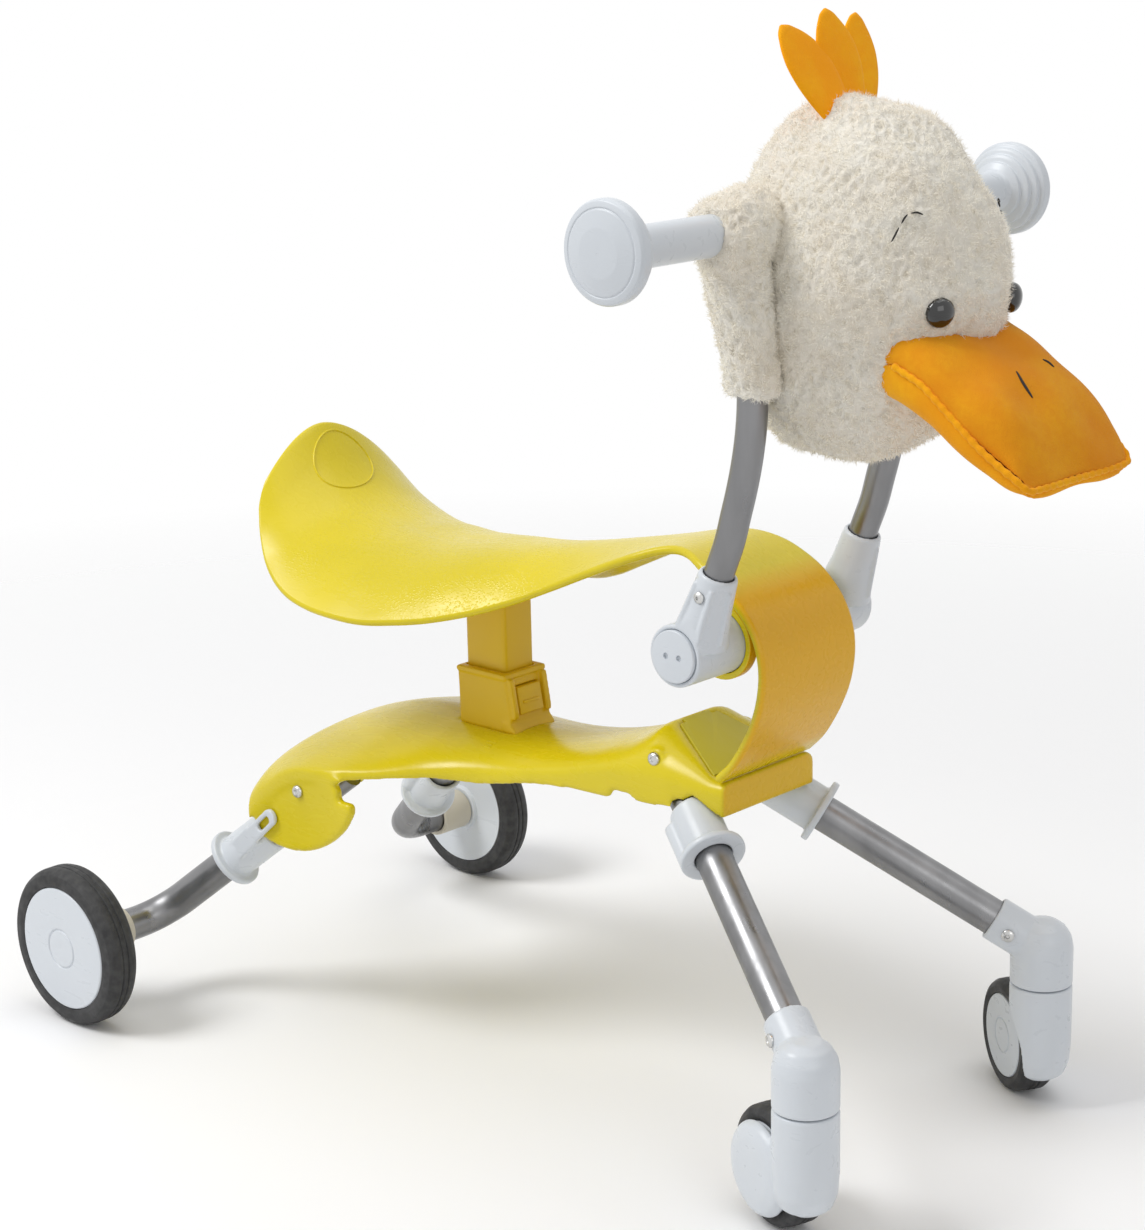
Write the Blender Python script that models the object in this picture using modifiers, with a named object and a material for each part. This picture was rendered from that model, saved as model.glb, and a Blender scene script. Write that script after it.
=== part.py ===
"""A child's ride-on walker: a hollow wishbone base on four legs that fold, a saddle that runs on into a C-shaped
band, and a handlebar with a plush duck's head. Sizes are in millimetres, and points are given across the object,
ahead of the rear axle and above the floor. The front points towards -Y. Right and left are the rider's own."""

import math

import bmesh
import bpy
from mathutils import Matrix, Vector

MM = 0.001
GAP = 0.3

# Overall layout
REAR_WHEEL_RADIUS = 50.0
BEAK_TIP_AHEAD = 602.0
REAR_AXLE_Y = (BEAK_TIP_AHEAD - REAR_WHEEL_RADIUS) / 2
SIDES = (("right", -1), ("left", 1))

# Base: wishbone moulding, open below
BASE_WALL = 3.5
BASE_FRONT_AHEAD = 410.0
NOTCH_HALF_WIDTH = 38.9
NOTCH_MIDDLE_AHEAD = 74.0
NOTCH_DEPTH = 18.0
ARM_HALF_WIDTH = 90.0
PLATE_OUTER = 89.2
PLATE_INNER = 83.0
BRACKET_OUTER = 42.6
BRACKET_INNER = 39.4
SLOPE_REAR_AHEAD = 356.0
SLOPE_REAR_UP = 226.0
SLOPE_FRONT_AHEAD = 399.5
SLOPE_FRONT_UP = 205.6
PANEL_THICK = 2.1
PANEL_HALF_REAR = 16.0
PANEL_HALF_FRONT = 33.0

# Socket, post and latch
SOCKET_HALF_WIDTH = 17.0
SOCKET_REAR_AHEAD = 186.0
SOCKET_FRONT_AHEAD = 230.0
SOCKET_TOP = 228.0
SOCKET_FOOT = 192.0
POST_HALF_WIDTH = 12.5
POST_REAR_AHEAD = 189.0
POST_FRONT_AHEAD = 221.0
BUTTON_HALF_WIDTH = 9.6
BUTTON_BOTTOM = 203.0
BUTTON_TOP = 219.0
BUTTON_TRAVEL = 2.0

# Seat and band
SHELL_THICK = 5.0
BAND_HALF_WIDTH = 40.5
BAND_FOOT_UP = 206.2
EAR_RADIUS = 20.8
EAR_OUTER = 37.5
EAR_INNER = 31.0

# Handlebar
AXLE_AHEAD = 406.5
SLEEVE_FOOT_AHEAD = 410.0
AXLE_UP = 284.0
AXLE_RADIUS = 10.0
AXLE_HALF_LENGTH = 54.0
BARREL_RADIUS = 17.0
BARREL_INNER = 34.6
BARREL_OUTER = 74.0
CAP_RADIUS = 14.3
SLEEVE_ACROSS = 61.6
SLEEVE_LEAN = math.radians(20.2)
SLEEVE_LENGTH = 47.8
SLEEVE_TOP_RADIUS = 10.3
SLEEVE_FOOT_RADIUS = 13.0
HANDLE_RADIUS = 8.0
GRIP_AHEAD = 447.3
GRIP_UP = 506.9
GRIP_RADIUS = 10.5
GRIP_INNER = 78.0
GRIP_OUTER = 173.0
DISC_RADIUS = 25.3

# Plush head
HEAD_AHEAD = 478.0
HEAD_UP = 477.5
HEAD_HALF_WIDTH = 64.0
HEAD_HALF_DEPTH = 73.0
HEAD_HALF_HEIGHT = 91.5
EYE_RADIUS = 7.0

# Legs and collars
LEG_RADIUS = 10.25
COLLAR_RADIUS = 13.5
FLANGE_RADIUS = 18.5
COLLAR_TRAVEL = 12.0
PIN_RADIUS = 3.0
REAR_PIVOT = (56.0, 120.0, 153.0)
REAR_LEG_OUT = 0.29
REAR_LEG_BACK = 0.726
REAR_BEND_RADIUS = 28.0
REAR_BUSH_INNER = 136.0
REAR_BUSH_OUTER = 160.6
REAR_TUBE_END = 146.0
FRONT_PIVOT = (22.0, 362.0, 210.5)
FRONT_FOLD = math.radians(71.0)
FRONT_BOSS_OUTER = 40.5
FRONT_LEG_START = (22.0, 360.8, 197.9)
FRONT_LEG_OUT = 0.406
FRONT_LEG_AHEAD = 0.767

# Wheels
REAR_TYRE_INNER = 161.0
REAR_TYRE_OUTER = 183.5
REAR_HUB_RADIUS = 38.6
CASTER_ACROSS = 106.8
CASTER_AHEAD = 518.4
CASTER_PARTING_UP = 74.1
CASTER_HEAD_RADIUS = 17.5
CASTER_WHEEL_RADIUS = 32.5
CASTER_HUB_RADIUS = 24.0
CASTER_TRAIL = 25.5
CASTER_OFFSET = 1.5
CASTER_HALF_WIDTH = 11.0
LOBE_RADIUS = 25.5
CASTER_TURN = {"right": math.radians(20.0), "left": math.radians(33.5)}

for leftover in list(bpy.data.objects):
    bpy.data.objects.remove(leftover, do_unlink=True)

model = bpy.data.collections.new("ride_on_walker")
cutters = bpy.data.collections.new("cutters")
bpy.context.scene.collection.children.link(model)
bpy.context.scene.collection.children.link(cutters)
cutters.hide_render = True


def new_material(name, colour, roughness, metallic=0.0):
    material = bpy.data.materials.new(name)
    material.use_nodes = True
    shader = material.node_tree.nodes["Principled BSDF"]
    shader.inputs["Base Color"].default_value = (*colour, 1.0)
    shader.inputs["Roughness"].default_value = roughness
    shader.inputs["Metallic"].default_value = metallic
    return material


YELLOW = (0.69, 0.57, 0.01)
AMBER = (0.60, 0.36, 0.012)
WHITE = (0.70, 0.75, 0.79)
STEEL = (0.16, 0.16, 0.165)
BRIGHT = (0.55, 0.55, 0.56)
BLACK = (0.018, 0.018, 0.018)
PLUSH = (0.88, 0.85, 0.80)
ORANGE = (0.85, 0.32, 0.01)
TUFT = (0.95, 0.45, 0.01)


def place(across, ahead, up):
    """The point in metres."""
    return Vector((across, REAR_AXLE_Y - ahead, up)) * MM


def heading(across, ahead, up):
    """The direction as a unit vector."""
    return Vector((across, -ahead, up)).normalized()


def finish(obj, collection, colour=None, roughness=0.4, metallic=0.0):
    collection.objects.link(obj)
    if collection is cutters:
        obj.hide_render = True
        obj.display_type = "WIRE"
    else:
        obj.data.materials.append(new_material(obj.name, colour, roughness, metallic))
    return obj


def from_mesh(name, points, faces, smooth=None):
    """A mesh object with its normals facing out. smooth is the angle above which an edge stays sharp."""
    mesh = bpy.data.meshes.new(name)
    mesh.from_pydata(points, [], faces)
    shape = bmesh.new()
    shape.from_mesh(mesh)
    bmesh.ops.recalc_face_normals(shape, faces=shape.faces)
    shape.to_mesh(mesh)
    shape.free()
    if smooth is not None:
        mesh.shade_smooth()
        mesh.set_sharp_from_angle(angle=math.radians(smooth))
    return bpy.data.objects.new(name, mesh)


def prism(name, outline, low, high, to_point):
    """An outline of (a, b) pairs pushed from low to high. to_point turns (a, b, height) into a point."""
    count = len(outline)
    points = [to_point(a, b, low) for a, b in outline] + [to_point(a, b, high) for a, b in outline]
    faces = [list(range(count)), list(range(count, 2 * count))]
    faces += [[i, (i + 1) % count, count + (i + 1) % count, count + i] for i in range(count)]
    return from_mesh(name, points, faces)


def side_plate(name, outline, inner, outer):
    """An outline of (ahead, up) pairs pushed across from inner to outer."""
    return prism(name, outline, inner, outer, lambda ahead, up, across: place(across, ahead, up))


def plan_plate(name, outline, bottom, top):
    """An outline of (across, ahead) pairs pushed up from bottom to top."""
    return prism(name, outline, bottom, top, place)


def loft(name, rings, smooth=40):
    """A solid through rings of equally many points, closed by its first and last ring."""
    count = len(rings[0])
    points = [point for ring in rings for point in ring]
    faces = [list(range(count)), list(range(len(points) - count, len(points)))]
    for start in range(0, len(points) - count, count):
        for i in range(count):
            after = (i + 1) % count
            faces.append([start + i, start + after, start + count + after, start + count + i])
    return from_mesh(name, points, faces, smooth)


def pose(obj, centre, axis, turn=None):
    """Puts the object's own z axis along axis at centre. turn is the direction of its own x axis."""
    if turn is None:
        rotation = Vector((0, 0, 1)).rotation_difference(axis).to_matrix()
    else:
        across = turn.normalized()
        rotation = Matrix((across, axis.cross(across), axis)).transposed()
    obj.matrix_world = Matrix.Translation(centre) @ rotation.to_4x4()
    return obj


def turned(name, profile, centre, axis, steps=32, ring=False):
    """A profile of (radius, height) pairs, running upwards, turned about axis. A ring's profile is closed."""
    if ring:
        pairs = zip(profile, profile[1:] + profile[:1])
        area = sum(a[0] * b[1] - b[0] * a[1] for a, b in pairs)
        ordered = profile[::-1] if area > 0 else profile
    else:
        ordered = profile[::-1]
    mesh = bpy.data.meshes.new(name)
    edges = [(i, i + 1) for i in range(len(ordered) - 1)]
    if ring:
        edges.append((len(ordered) - 1, 0))
    mesh.from_pydata([(radius * MM, 0.0, height * MM) for radius, height in ordered], edges, [])
    obj = bpy.data.objects.new(name, mesh)
    screw = obj.modifiers.new("Turn", "SCREW")
    screw.steps = steps
    screw.render_steps = steps
    screw.use_merge_vertices = True
    screw.merge_threshold = 0.00001
    screw.use_smooth_shade = True
    return pose(obj, centre, axis)


def cylinder(name, radius, low, high, centre, axis, steps=24):
    return turned(name, [(0, low), (radius, low), (radius, high), (0, high)], centre, axis, steps)


def block(name, centre, axis, turn, x_span, y_span, z_span):
    """A box of (low, high) spans in millimetres along turn, across it and along axis."""
    corners = [Vector((x, y, z)) * MM for z in z_span for x, y in
               ((x_span[0], y_span[0]), (x_span[1], y_span[0]), (x_span[1], y_span[1]), (x_span[0], y_span[1]))]
    faces = [[0, 1, 2, 3], [4, 5, 6, 7], [0, 1, 5, 4], [1, 2, 6, 5], [2, 3, 7, 6], [3, 0, 4, 7]]
    return pose(from_mesh(name, corners, faces), centre, axis, turn)


def rounded_path(points, radius, steps=6):
    """The points with each inner corner turned into an arc of this radius."""
    path = [points[0]]
    for before, corner, after in zip(points, points[1:], points[2:]):
        back = (before - corner).normalized()
        on = (after - corner).normalized()
        half = back.angle(on) / 2
        reach = radius * MM / math.tan(half)
        centre = corner + (back + on).normalized() * (radius * MM / math.sin(half))
        first = corner + back * reach - centre
        last = corner + on * reach - centre
        sweep = first.angle(last)
        for k in range(steps + 1):
            share = k / steps
            weight_first = math.sin((1 - share) * sweep) / math.sin(sweep)
            weight_last = math.sin(share * sweep) / math.sin(sweep)
            path.append(centre + first * weight_first + last * weight_last)
    return path + [points[-1]]


def tube(name, path, radius, resolution=2):
    """A round bar along the path, as a closed mesh."""
    curve = bpy.data.curves.new(name, "CURVE")
    curve.dimensions = "3D"
    curve.bevel_depth = radius * MM
    curve.bevel_resolution = resolution
    curve.use_fill_caps = True
    spline = curve.splines.new("POLY")
    spline.points.add(len(path) - 1)
    for point, spot in zip(spline.points, path):
        point.co = (*spot, 1.0)
    helper = bpy.data.objects.new(name, curve)
    bpy.context.scene.collection.objects.link(helper)
    graph = bpy.context.evaluated_depsgraph_get()
    mesh = bpy.data.meshes.new_from_object(helper.evaluated_get(graph))
    bpy.data.objects.remove(helper)
    bpy.data.curves.remove(curve)
    shape = bmesh.new()
    shape.from_mesh(mesh)
    bmesh.ops.remove_doubles(shape, verts=shape.verts, dist=0.00001)
    bmesh.ops.recalc_face_normals(shape, faces=shape.faces)
    shape.to_mesh(mesh)
    shape.free()
    mesh.materials.clear()
    mesh.shade_smooth()
    mesh.set_sharp_from_angle(angle=math.radians(50))
    mesh.name = name
    return bpy.data.objects.new(name, mesh)


def combine(obj, tool, operation="DIFFERENCE"):
    if tool.name not in cutters.objects:
        finish(tool, cutters)
    modifier = obj.modifiers.new(tool.name, "BOOLEAN")
    modifier.operation = operation
    modifier.solver = "EXACT"
    modifier.object = tool


def cut(obj, *tools):
    for tool in tools:
        combine(obj, tool)


def join(obj, *tools):
    for tool in tools:
        combine(obj, tool, "UNION")


def pivot(name, location, *objects):
    """An empty on a joint's axis, with its pieces under it."""
    empty = bpy.data.objects.new(name, None)
    empty.location = location
    empty.empty_display_size = 0.02
    model.objects.link(empty)
    for obj in objects:
        obj.parent = empty
        obj.matrix_parent_inverse = Matrix.Translation(location).inverted()
    return empty


def steps_between(start, end, count):
    return [start + (end - start) * i / count for i in range(count + 1)]


def circle_points(centre, radius, start, end, count):
    """Points of an arc, its angles in degrees from straight ahead towards up."""
    return [(centre[0] + radius * math.cos(math.radians(angle)), centre[1] + radius * math.sin(math.radians(angle)))
            for angle in steps_between(start, end, count)]


X_AXIS = Vector((1, 0, 0))
Z_AXIS = Vector((0, 0, 1))

# Base moulding: stations of ahead, half width, underside, side edge, crown, squareness and half width of the flat top
BASE_STATIONS = [
    (72, 90.0, 125.0, 130.0, 160.0, 2.4, 1.0),
    (80, 90.0, 131.0, 138.5, 170.0, 2.3, 1.0),
    (89, 90.0, 138.0, 147.5, 177.0, 2.0, 1.0),
    (101, 90.0, 148.5, 158.5, 182.0, 1.6, 1.0),
    (118, 90.0, 158.0, 166.5, 187.6, 1.3, 1.0),
    (137, 89.5, 162.0, 169.5, 192.6, 1.2, 1.0),
    (150, 87.0, 164.5, 170.8, 194.8, 1.2, 1.0),
    (166, 80.5, 167.0, 171.5, 196.4, 1.2, 1.0),
    (182, 71.0, 168.5, 172.5, 196.4, 1.3, 1.0),
    (198, 60.5, 169.5, 173.5, 195.6, 1.5, 1.0),
    (214, 53.5, 169.5, 175.0, 195.0, 1.7, 1.0),
    (232, 49.0, 170.5, 177.0, 195.0, 1.8, 1.0),
    (252, 46.5, 174.0, 180.0, 196.0, 1.8, 1.0),
    (272, 45.5, 178.0, 184.5, 197.5, 1.9, 1.0),
    (295, 44.8, 180.5, 189.0, 202.0, 2.0, 2.0),
    (318, 44.3, 181.5, 195.0, 207.5, 1.9, 5.0),
    (337, 44.0, 182.5, 199.0, 213.5, 1.6, 11.0),
    (347, 43.8, 183.3, 200.0, 220.0, 1.4, 15.0),
    (SLOPE_REAR_AHEAD, 43.5, 184.2, 201.0, SLOPE_REAR_UP, 1.3, 18.0),
    (372, 43.0, 186.4, 201.0, 218.3, 1.3, 25.0),
    (388, 41.8, 188.6, 199.5, 211.0, 1.4, 31.0),
    (SLOPE_FRONT_AHEAD, 41.0, 189.4, 199.0, SLOPE_FRONT_UP, 1.6, 35.0),
    (401.0, 40.8, 189.6, 199.5, 205.0, 1.6, 35.0),
    (BASE_FRONT_AHEAD, 39.8, 186.5, 199.5, 205.0, 1.6, 34.0),
]
CROWN_STEPS = 4


def base_section(station, inset, underside=None):
    """One ring across the base, inset from its outer surface."""
    ahead, half_width, bottom, edge, crown, power, flat = station
    low = edge - inset
    rise = crown - inset - low
    reach = half_width - inset - flat
    foot = bottom if underside is None else underside
    half = [(half_width - inset, foot)]
    for k in range(CROWN_STEPS + 1):
        angle = math.pi / 2 * k / CROWN_STEPS
        half.append((flat + reach * math.cos(angle) ** (2 / power), low + rise * math.sin(angle) ** (2 / power)))
    whole = [(-across, up) for across, up in half] + half[::-1]
    return [place(across, ahead, up) for across, up in whole]


base = loft("base", [base_section(station, 0.0) for station in BASE_STATIONS], 35)
finish(base, model, YELLOW, 0.25)

hollow_stations = [(60, 90.0, 0.0, 118.0, 148.0, 2.4, 1.0)] + BASE_STATIONS[:-1]
hollow_stations.append((BASE_FRONT_AHEAD - BASE_WALL, 40.0, 0.0, 199.5, 204.8, 1.6, 34.0))
hollow = loft("base_hollow", [base_section(station, BASE_WALL, 90.0) for station in hollow_stations])


def notch_outline(growth):
    """The U between the two arms, seen from above."""
    half = NOTCH_HALF_WIDTH + growth
    depth = NOTCH_DEPTH + growth
    curve = [(half * math.cos(math.radians(angle)), NOTCH_MIDDLE_AHEAD + depth * math.sin(math.radians(angle)))
             for angle in steps_between(0, 180, 12)]
    return [(half, 40.0)] + curve + [(-half, 40.0)]


cut(hollow, plan_plate("notch_wall", notch_outline(BASE_WALL), 60, 240))
cut(base, hollow, plan_plate("notch", notch_outline(0.0), 50, 250))

# Knuckle plates of the rear legs, with the second seat of the collar's tongue
PLATE_ARC_CENTRE = (104.6, 183.6)
PLATE_ARC_RADIUS = 71.0
SEAT_CENTRE = (147.6, 157.1)
SEAT_RADIUS = 6.0
plate_outline = (
    [(75.5, 128.6)]
    + circle_points(PLATE_ARC_CENTRE, PLATE_ARC_RADIUS, 250, 320, 9)
    + [(164.5, 147), (165, 151), (163, 153.6)]
    + circle_points(SEAT_CENTRE, SEAT_RADIUS, 315, 90, 7)
    + [(153, 164.0), (156, 166.6), (150, 168.5), (137, 167.0), (118, 164.5), (101, 155.0), (89, 144.0), (80, 134.8)]
)
lug_outline = circle_points(REAR_PIVOT[1:], 7.0, 180, 360, 8) + [(REAR_PIVOT[1] + 7, 181.2), (REAR_PIVOT[1] - 7, 178.4)]
for side, sign in SIDES:
    join(
        base,
        side_plate(f"plate_{side}", plate_outline, sign * PLATE_INNER, sign * PLATE_OUTER),
        side_plate(f"lug_{side}", lug_outline, sign * BRACKET_INNER, sign * BRACKET_OUTER),
        cylinder(f"front_boss_{side}", 5.8, 33.0, FRONT_BOSS_OUTER, place(0, *FRONT_PIVOT[1:]), X_AXIS * sign, 18),
    )
    rear_hole = place(0, *REAR_PIVOT[1:])
    cut(base, cylinder(f"rear_pin_hole_{side}", PIN_RADIUS + GAP, BRACKET_INNER - 3, PLATE_OUTER + 5, rear_hole,
                       X_AXIS * sign, 16))
    front_hole = place(0, *FRONT_PIVOT[1:])
    cut(base, cylinder(f"front_pin_hole_{side}", PIN_RADIUS + GAP, 20, 60, front_hole, X_AXIS * sign, 16))

join(base, block("front_hanger", place(0, FRONT_PIVOT[1], 0), Z_AXIS, X_AXIS, (-9, 9), (-12, 12), (199, 220.5)))
for side, sign in SIDES:
    cut(base, cylinder(f"front_pin_seat_{side}", PIN_RADIUS + GAP, 4.0, 15, place(0, *FRONT_PIVOT[1:]), X_AXIS * sign, 16))

# Room for the front legs and collars to swing down through the side walls
LEG_SPREAD = FRONT_LEG_OUT / math.sqrt(1 - FRONT_LEG_OUT**2)
LEG_ANGLE = math.atan2(math.sqrt(1 - FRONT_LEG_OUT**2 - FRONT_LEG_AHEAD**2), FRONT_LEG_AHEAD)
AXIS_DROP = ((FRONT_PIVOT[2] - FRONT_LEG_START[2]) * math.cos(LEG_ANGLE)
             + (FRONT_PIVOT[1] - FRONT_LEG_START[1]) * math.sin(LEG_ANGLE))
down = heading(0, -math.sin(LEG_ANGLE), -math.cos(LEG_ANGLE))
folded = LEG_ANGLE + FRONT_FOLD
back = heading(0, -math.sin(folded), -math.cos(folded))
onward = heading(0, math.cos(folded), -math.sin(folded))
fold_line = place(0, *FRONT_PIVOT[1:])
for side, sign in SIDES:
    for name, radius, near, far in (("leg", LEG_RADIUS, 18.0, 42.0), ("collar", COLLAR_RADIUS, 34.2, 85.0)):
        reach = radius / math.sqrt(1 - FRONT_LEG_OUT**2) + 1.0
        middle = [FRONT_PIVOT[0] + LEG_SPREAD * (distance - 5.9) for distance in (near, far)]
        fan = [(near, middle[0] - reach), (near, middle[0] + reach), (far, middle[1] + reach), (far, middle[1] - reach)]
        room = turned(f"front_{name}_room_{side}", fan, fold_line, X_AXIS * sign, 40, True)
        below = block(f"front_{name}_below_{side}", fold_line, down, X_AXIS, (-140, 140), (-140, 140),
                      (AXIS_DROP - radius - 1.1, 150))
        behind = block(f"front_{name}_behind_{side}", fold_line, back, X_AXIS, (-140, 140), (-140, 140),
                       (-150, AXIS_DROP + radius + 1.1))
        past = block(f"front_{name}_past_{side}", fold_line, onward, X_AXIS, (-140, 140), (-140, 140), (3.0, 150))
        combine(room, below, "INTERSECT")
        combine(room, behind, "INTERSECT")
        combine(room, past, "INTERSECT")
        cut(base, room)

# Inset panel on the front slope
slope = Vector((0, -(SLOPE_FRONT_AHEAD - SLOPE_REAR_AHEAD), SLOPE_FRONT_UP - SLOPE_REAR_UP))
slope_length = slope.length
slope_along = slope.normalized()
slope_up = X_AXIS.cross(slope_along)
if slope_up.z < 0:
    slope_up = -slope_up
panel_corner = place(0, SLOPE_REAR_AHEAD, SLOPE_REAR_UP)


def panel_outline(growth):
    rear = PANEL_HALF_REAR + growth
    front = PANEL_HALF_FRONT + growth
    start = 1.2 - growth
    end = slope_length - 1.5 + growth
    tab = 5.0
    return [(-rear, start + 3), (-rear + tab, start + 3), (-rear + tab, start), (rear - tab, start),
            (rear - tab, start + 3), (rear, start + 3), (front, end), (-front, end)]


def on_slope(across, along, height):
    return panel_corner + (X_AXIS * across + slope_along * along + slope_up * height) * MM


panel = prism("deck_panel", panel_outline(0.0), -PANEL_THICK, 0.0, on_slope)
finish(panel, model, (0.55, 0.42, 0.01), 0.55)
cut(base, prism("panel_recess", panel_outline(GAP), -PANEL_THICK - GAP, 15.0, on_slope))

# Socket of the seat post, let into the deck
socket_profile = [(SOCKET_REAR_AHEAD, SOCKET_TOP), (SOCKET_REAR_AHEAD + 1, SOCKET_FOOT + GAP),
                  (SOCKET_FRONT_AHEAD, SOCKET_FOOT + GAP), (SOCKET_FRONT_AHEAD - 6, SOCKET_TOP)]
socket = side_plate("post_socket", socket_profile, -SOCKET_HALF_WIDTH, SOCKET_HALF_WIDTH)
finish(socket, model, AMBER, 0.35)
rib_profile = [(SOCKET_FRONT_AHEAD - 9, 225), (SOCKET_FRONT_AHEAD - 5, 201), (SOCKET_FRONT_AHEAD + 1.5, 201),
               (SOCKET_FRONT_AHEAD + 1.5, 205), (SOCKET_FRONT_AHEAD - 2, 225)]
join(socket, side_plate("socket_rib", rib_profile, 11.6, 15.6))
cut(
    socket,
    plan_plate("post_hole", [(-POST_HALF_WIDTH - GAP, POST_REAR_AHEAD - GAP),
                             (POST_HALF_WIDTH + GAP, POST_REAR_AHEAD - GAP),
                             (POST_HALF_WIDTH + GAP, POST_FRONT_AHEAD + GAP),
                             (-POST_HALF_WIDTH - GAP, POST_FRONT_AHEAD + GAP)], 190, 240),
    plan_plate("button_window", [(-BUTTON_HALF_WIDTH - GAP, POST_FRONT_AHEAD - 4),
                                 (BUTTON_HALF_WIDTH + GAP, POST_FRONT_AHEAD - 4),
                                 (BUTTON_HALF_WIDTH + GAP, SOCKET_FRONT_AHEAD + 5),
                                 (-BUTTON_HALF_WIDTH - GAP, SOCKET_FRONT_AHEAD + 5)],
               BUTTON_BOTTOM - GAP, BUTTON_TOP + GAP),
)
join(base, plan_plate("socket_pad", [(-21, 181), (21, 181), (21, 237), (-21, 237)], SOCKET_FOOT - 6, 193))
cut(base, plan_plate("socket_pocket", [(-SOCKET_HALF_WIDTH - GAP, SOCKET_REAR_AHEAD + 0.7),
                                       (SOCKET_HALF_WIDTH + GAP, SOCKET_REAR_AHEAD + 0.7),
                                       (SOCKET_HALF_WIDTH + GAP, SOCKET_FRONT_AHEAD + 2.2),
                                       (-SOCKET_HALF_WIDTH - GAP, SOCKET_FRONT_AHEAD + 2.2)], SOCKET_FOOT, 230))

post_profile = [(POST_REAR_AHEAD, 296.2), (POST_REAR_AHEAD, SOCKET_FOOT + 2.0),
                (POST_FRONT_AHEAD, SOCKET_FOOT + 2.0), (POST_FRONT_AHEAD, 299.0)]
post = side_plate("seat_post", post_profile, -POST_HALF_WIDTH, POST_HALF_WIDTH)
finish(post, model, AMBER, 0.3)

button_profile = [(POST_FRONT_AHEAD + BUTTON_TRAVEL + GAP, BUTTON_BOTTOM), (SOCKET_FRONT_AHEAD + 1.0, BUTTON_BOTTOM),
                  (SOCKET_FRONT_AHEAD - 2.0, BUTTON_TOP), (POST_FRONT_AHEAD + BUTTON_TRAVEL + GAP, BUTTON_TOP)]
button = side_plate("latch_button", button_profile, -BUTTON_HALF_WIDTH, BUTTON_HALF_WIDTH)
finish(button, model, AMBER, 0.3)

# Seat and band: stations of the middle (ahead, up), the rim (across, ahead, up) and the shape between them
SEAT_STATIONS = [
    ((55.5, 357.5), (50.0, 57.5, 330.0), 1.9),
    ((59.0, 352.5), (58.5, 61.0, 319.0), 1.9),
    ((64.5, 344.0), (65.0, 66.5, 308.0), 2.0),
    ((71.5, 334.0), (71.0, 74.0, 297.0), 2.1),
    ((80.5, 324.5), (77.0, 83.5, 287.0), 2.2),
    ((92.5, 315.5), (82.5, 96.0, 279.0), 2.2),
    ((107.5, 308.5), (86.0, 111.0, 272.0), 2.3),
    ((125.0, 304.0), (87.0, 128.0, 267.5), 2.4),
    ((147.0, 302.0), (86.5, 149.0, 265.0), 2.5),
    ((170.0, 301.2), (84.0, 171.0, 264.2), 2.5),
    ((192.0, 302.6), (79.5, 192.0, 266.2), 2.5),
    ((215.0, 304.8), (72.5, 215.0, 269.5), 2.5),
    ((240.0, 307.3), (61.0, 240.0, 275.5), 2.4),
    ((262.0, 310.2), (50.5, 262.0, 283.5), 2.3),
    ((284.0, 314.0), (43.0, 284.0, 294.0), 2.2),
    ((306.0, 318.2), (39.5, 306.0, 305.0), 2.2),
    ((326.0, 322.0), (37.5, 326.0, 314.5), 2.2),
    ((342.0, 325.0), (35.0, 342.0, 321.5), 2.2),
    ((355.0, 327.6), (31.0, 355.0, 326.3), 2.0),
    ((368.0, 329.2), (29.5, 368.0, 328.8), 2.0),
    ((380.0, 328.8), (32.5, 380.0, 328.5), 2.0),
    ((392.0, 325.2), (37.0, 392.0, 325.0), 2.0),
]
BAND_LINE = [
    (404.0, 319.2), (414.0, 313.2), (424.0, 304.9), (431.5, 295.5), (436.5, 284.5), (438.6, 272.5),
    (437.9, 260.5), (435.2, 248.5), (430.3, 236.5), (424.3, 225.5), (417.0, 214.8), (408.2, BAND_FOOT_UP),
]
SEAT_HALF_STEPS = 5
seat_rows = []
for middle, rim, power in SEAT_STATIONS:
    row = []
    for k in range(-SEAT_HALF_STEPS, SEAT_HALF_STEPS + 1):
        share = math.sin(math.pi / 2 * abs(k) / SEAT_HALF_STEPS)
        sign = (k > 0) - (k < 0)
        ahead = middle[0] + (rim[1] - middle[0]) * share**2
        up = middle[1] + (rim[2] - middle[1]) * share**power
        row.append(place(sign * rim[0] * share, ahead, up))
    seat_rows.append(row)
for index, (ahead, up) in enumerate(BAND_LINE):
    half_width = 39.5 if index == 0 else BAND_HALF_WIDTH
    seat_rows.append([place(half_width * math.copysign(math.sin(math.pi / 2 * abs(k) / SEAT_HALF_STEPS), k),
                            ahead, up) for k in range(-SEAT_HALF_STEPS, SEAT_HALF_STEPS + 1)])


def shell(name, rows, thick):
    """A sheet through the rows, given this thickness on its lower side."""
    high, wide = len(rows), len(rows[0])
    under = []
    for i in range(high):
        line = []
        for j in range(wide):
            along = rows[min(i + 1, high - 1)][j] - rows[max(i - 1, 0)][j]
            across = rows[i][min(j + 1, wide - 1)] - rows[i][max(j - 1, 0)]
            line.append(rows[i][j] - across.cross(along).normalized() * (-thick * MM))
        under.append(line)
    points = [p for row in rows for p in row] + [p for row in under for p in row]
    size = high * wide
    faces = []
    for i in range(high - 1):
        for j in range(wide - 1):
            a = i * wide + j
            faces.append([a, a + 1, a + wide + 1, a + wide])
            faces.append([size + a, size + a + 1, size + a + wide + 1, size + a + wide])
    border = [i * wide for i in range(high)] + [(high - 1) * wide + j for j in range(1, wide)]
    border += [i * wide + wide - 1 for i in range(high - 2, -1, -1)] + list(range(wide - 2, 0, -1))
    for a, b in zip(border, border[1:] + border[:1]):
        faces.append([a, b, size + b, size + a])
    return from_mesh(name, points, faces, 50)


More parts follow.
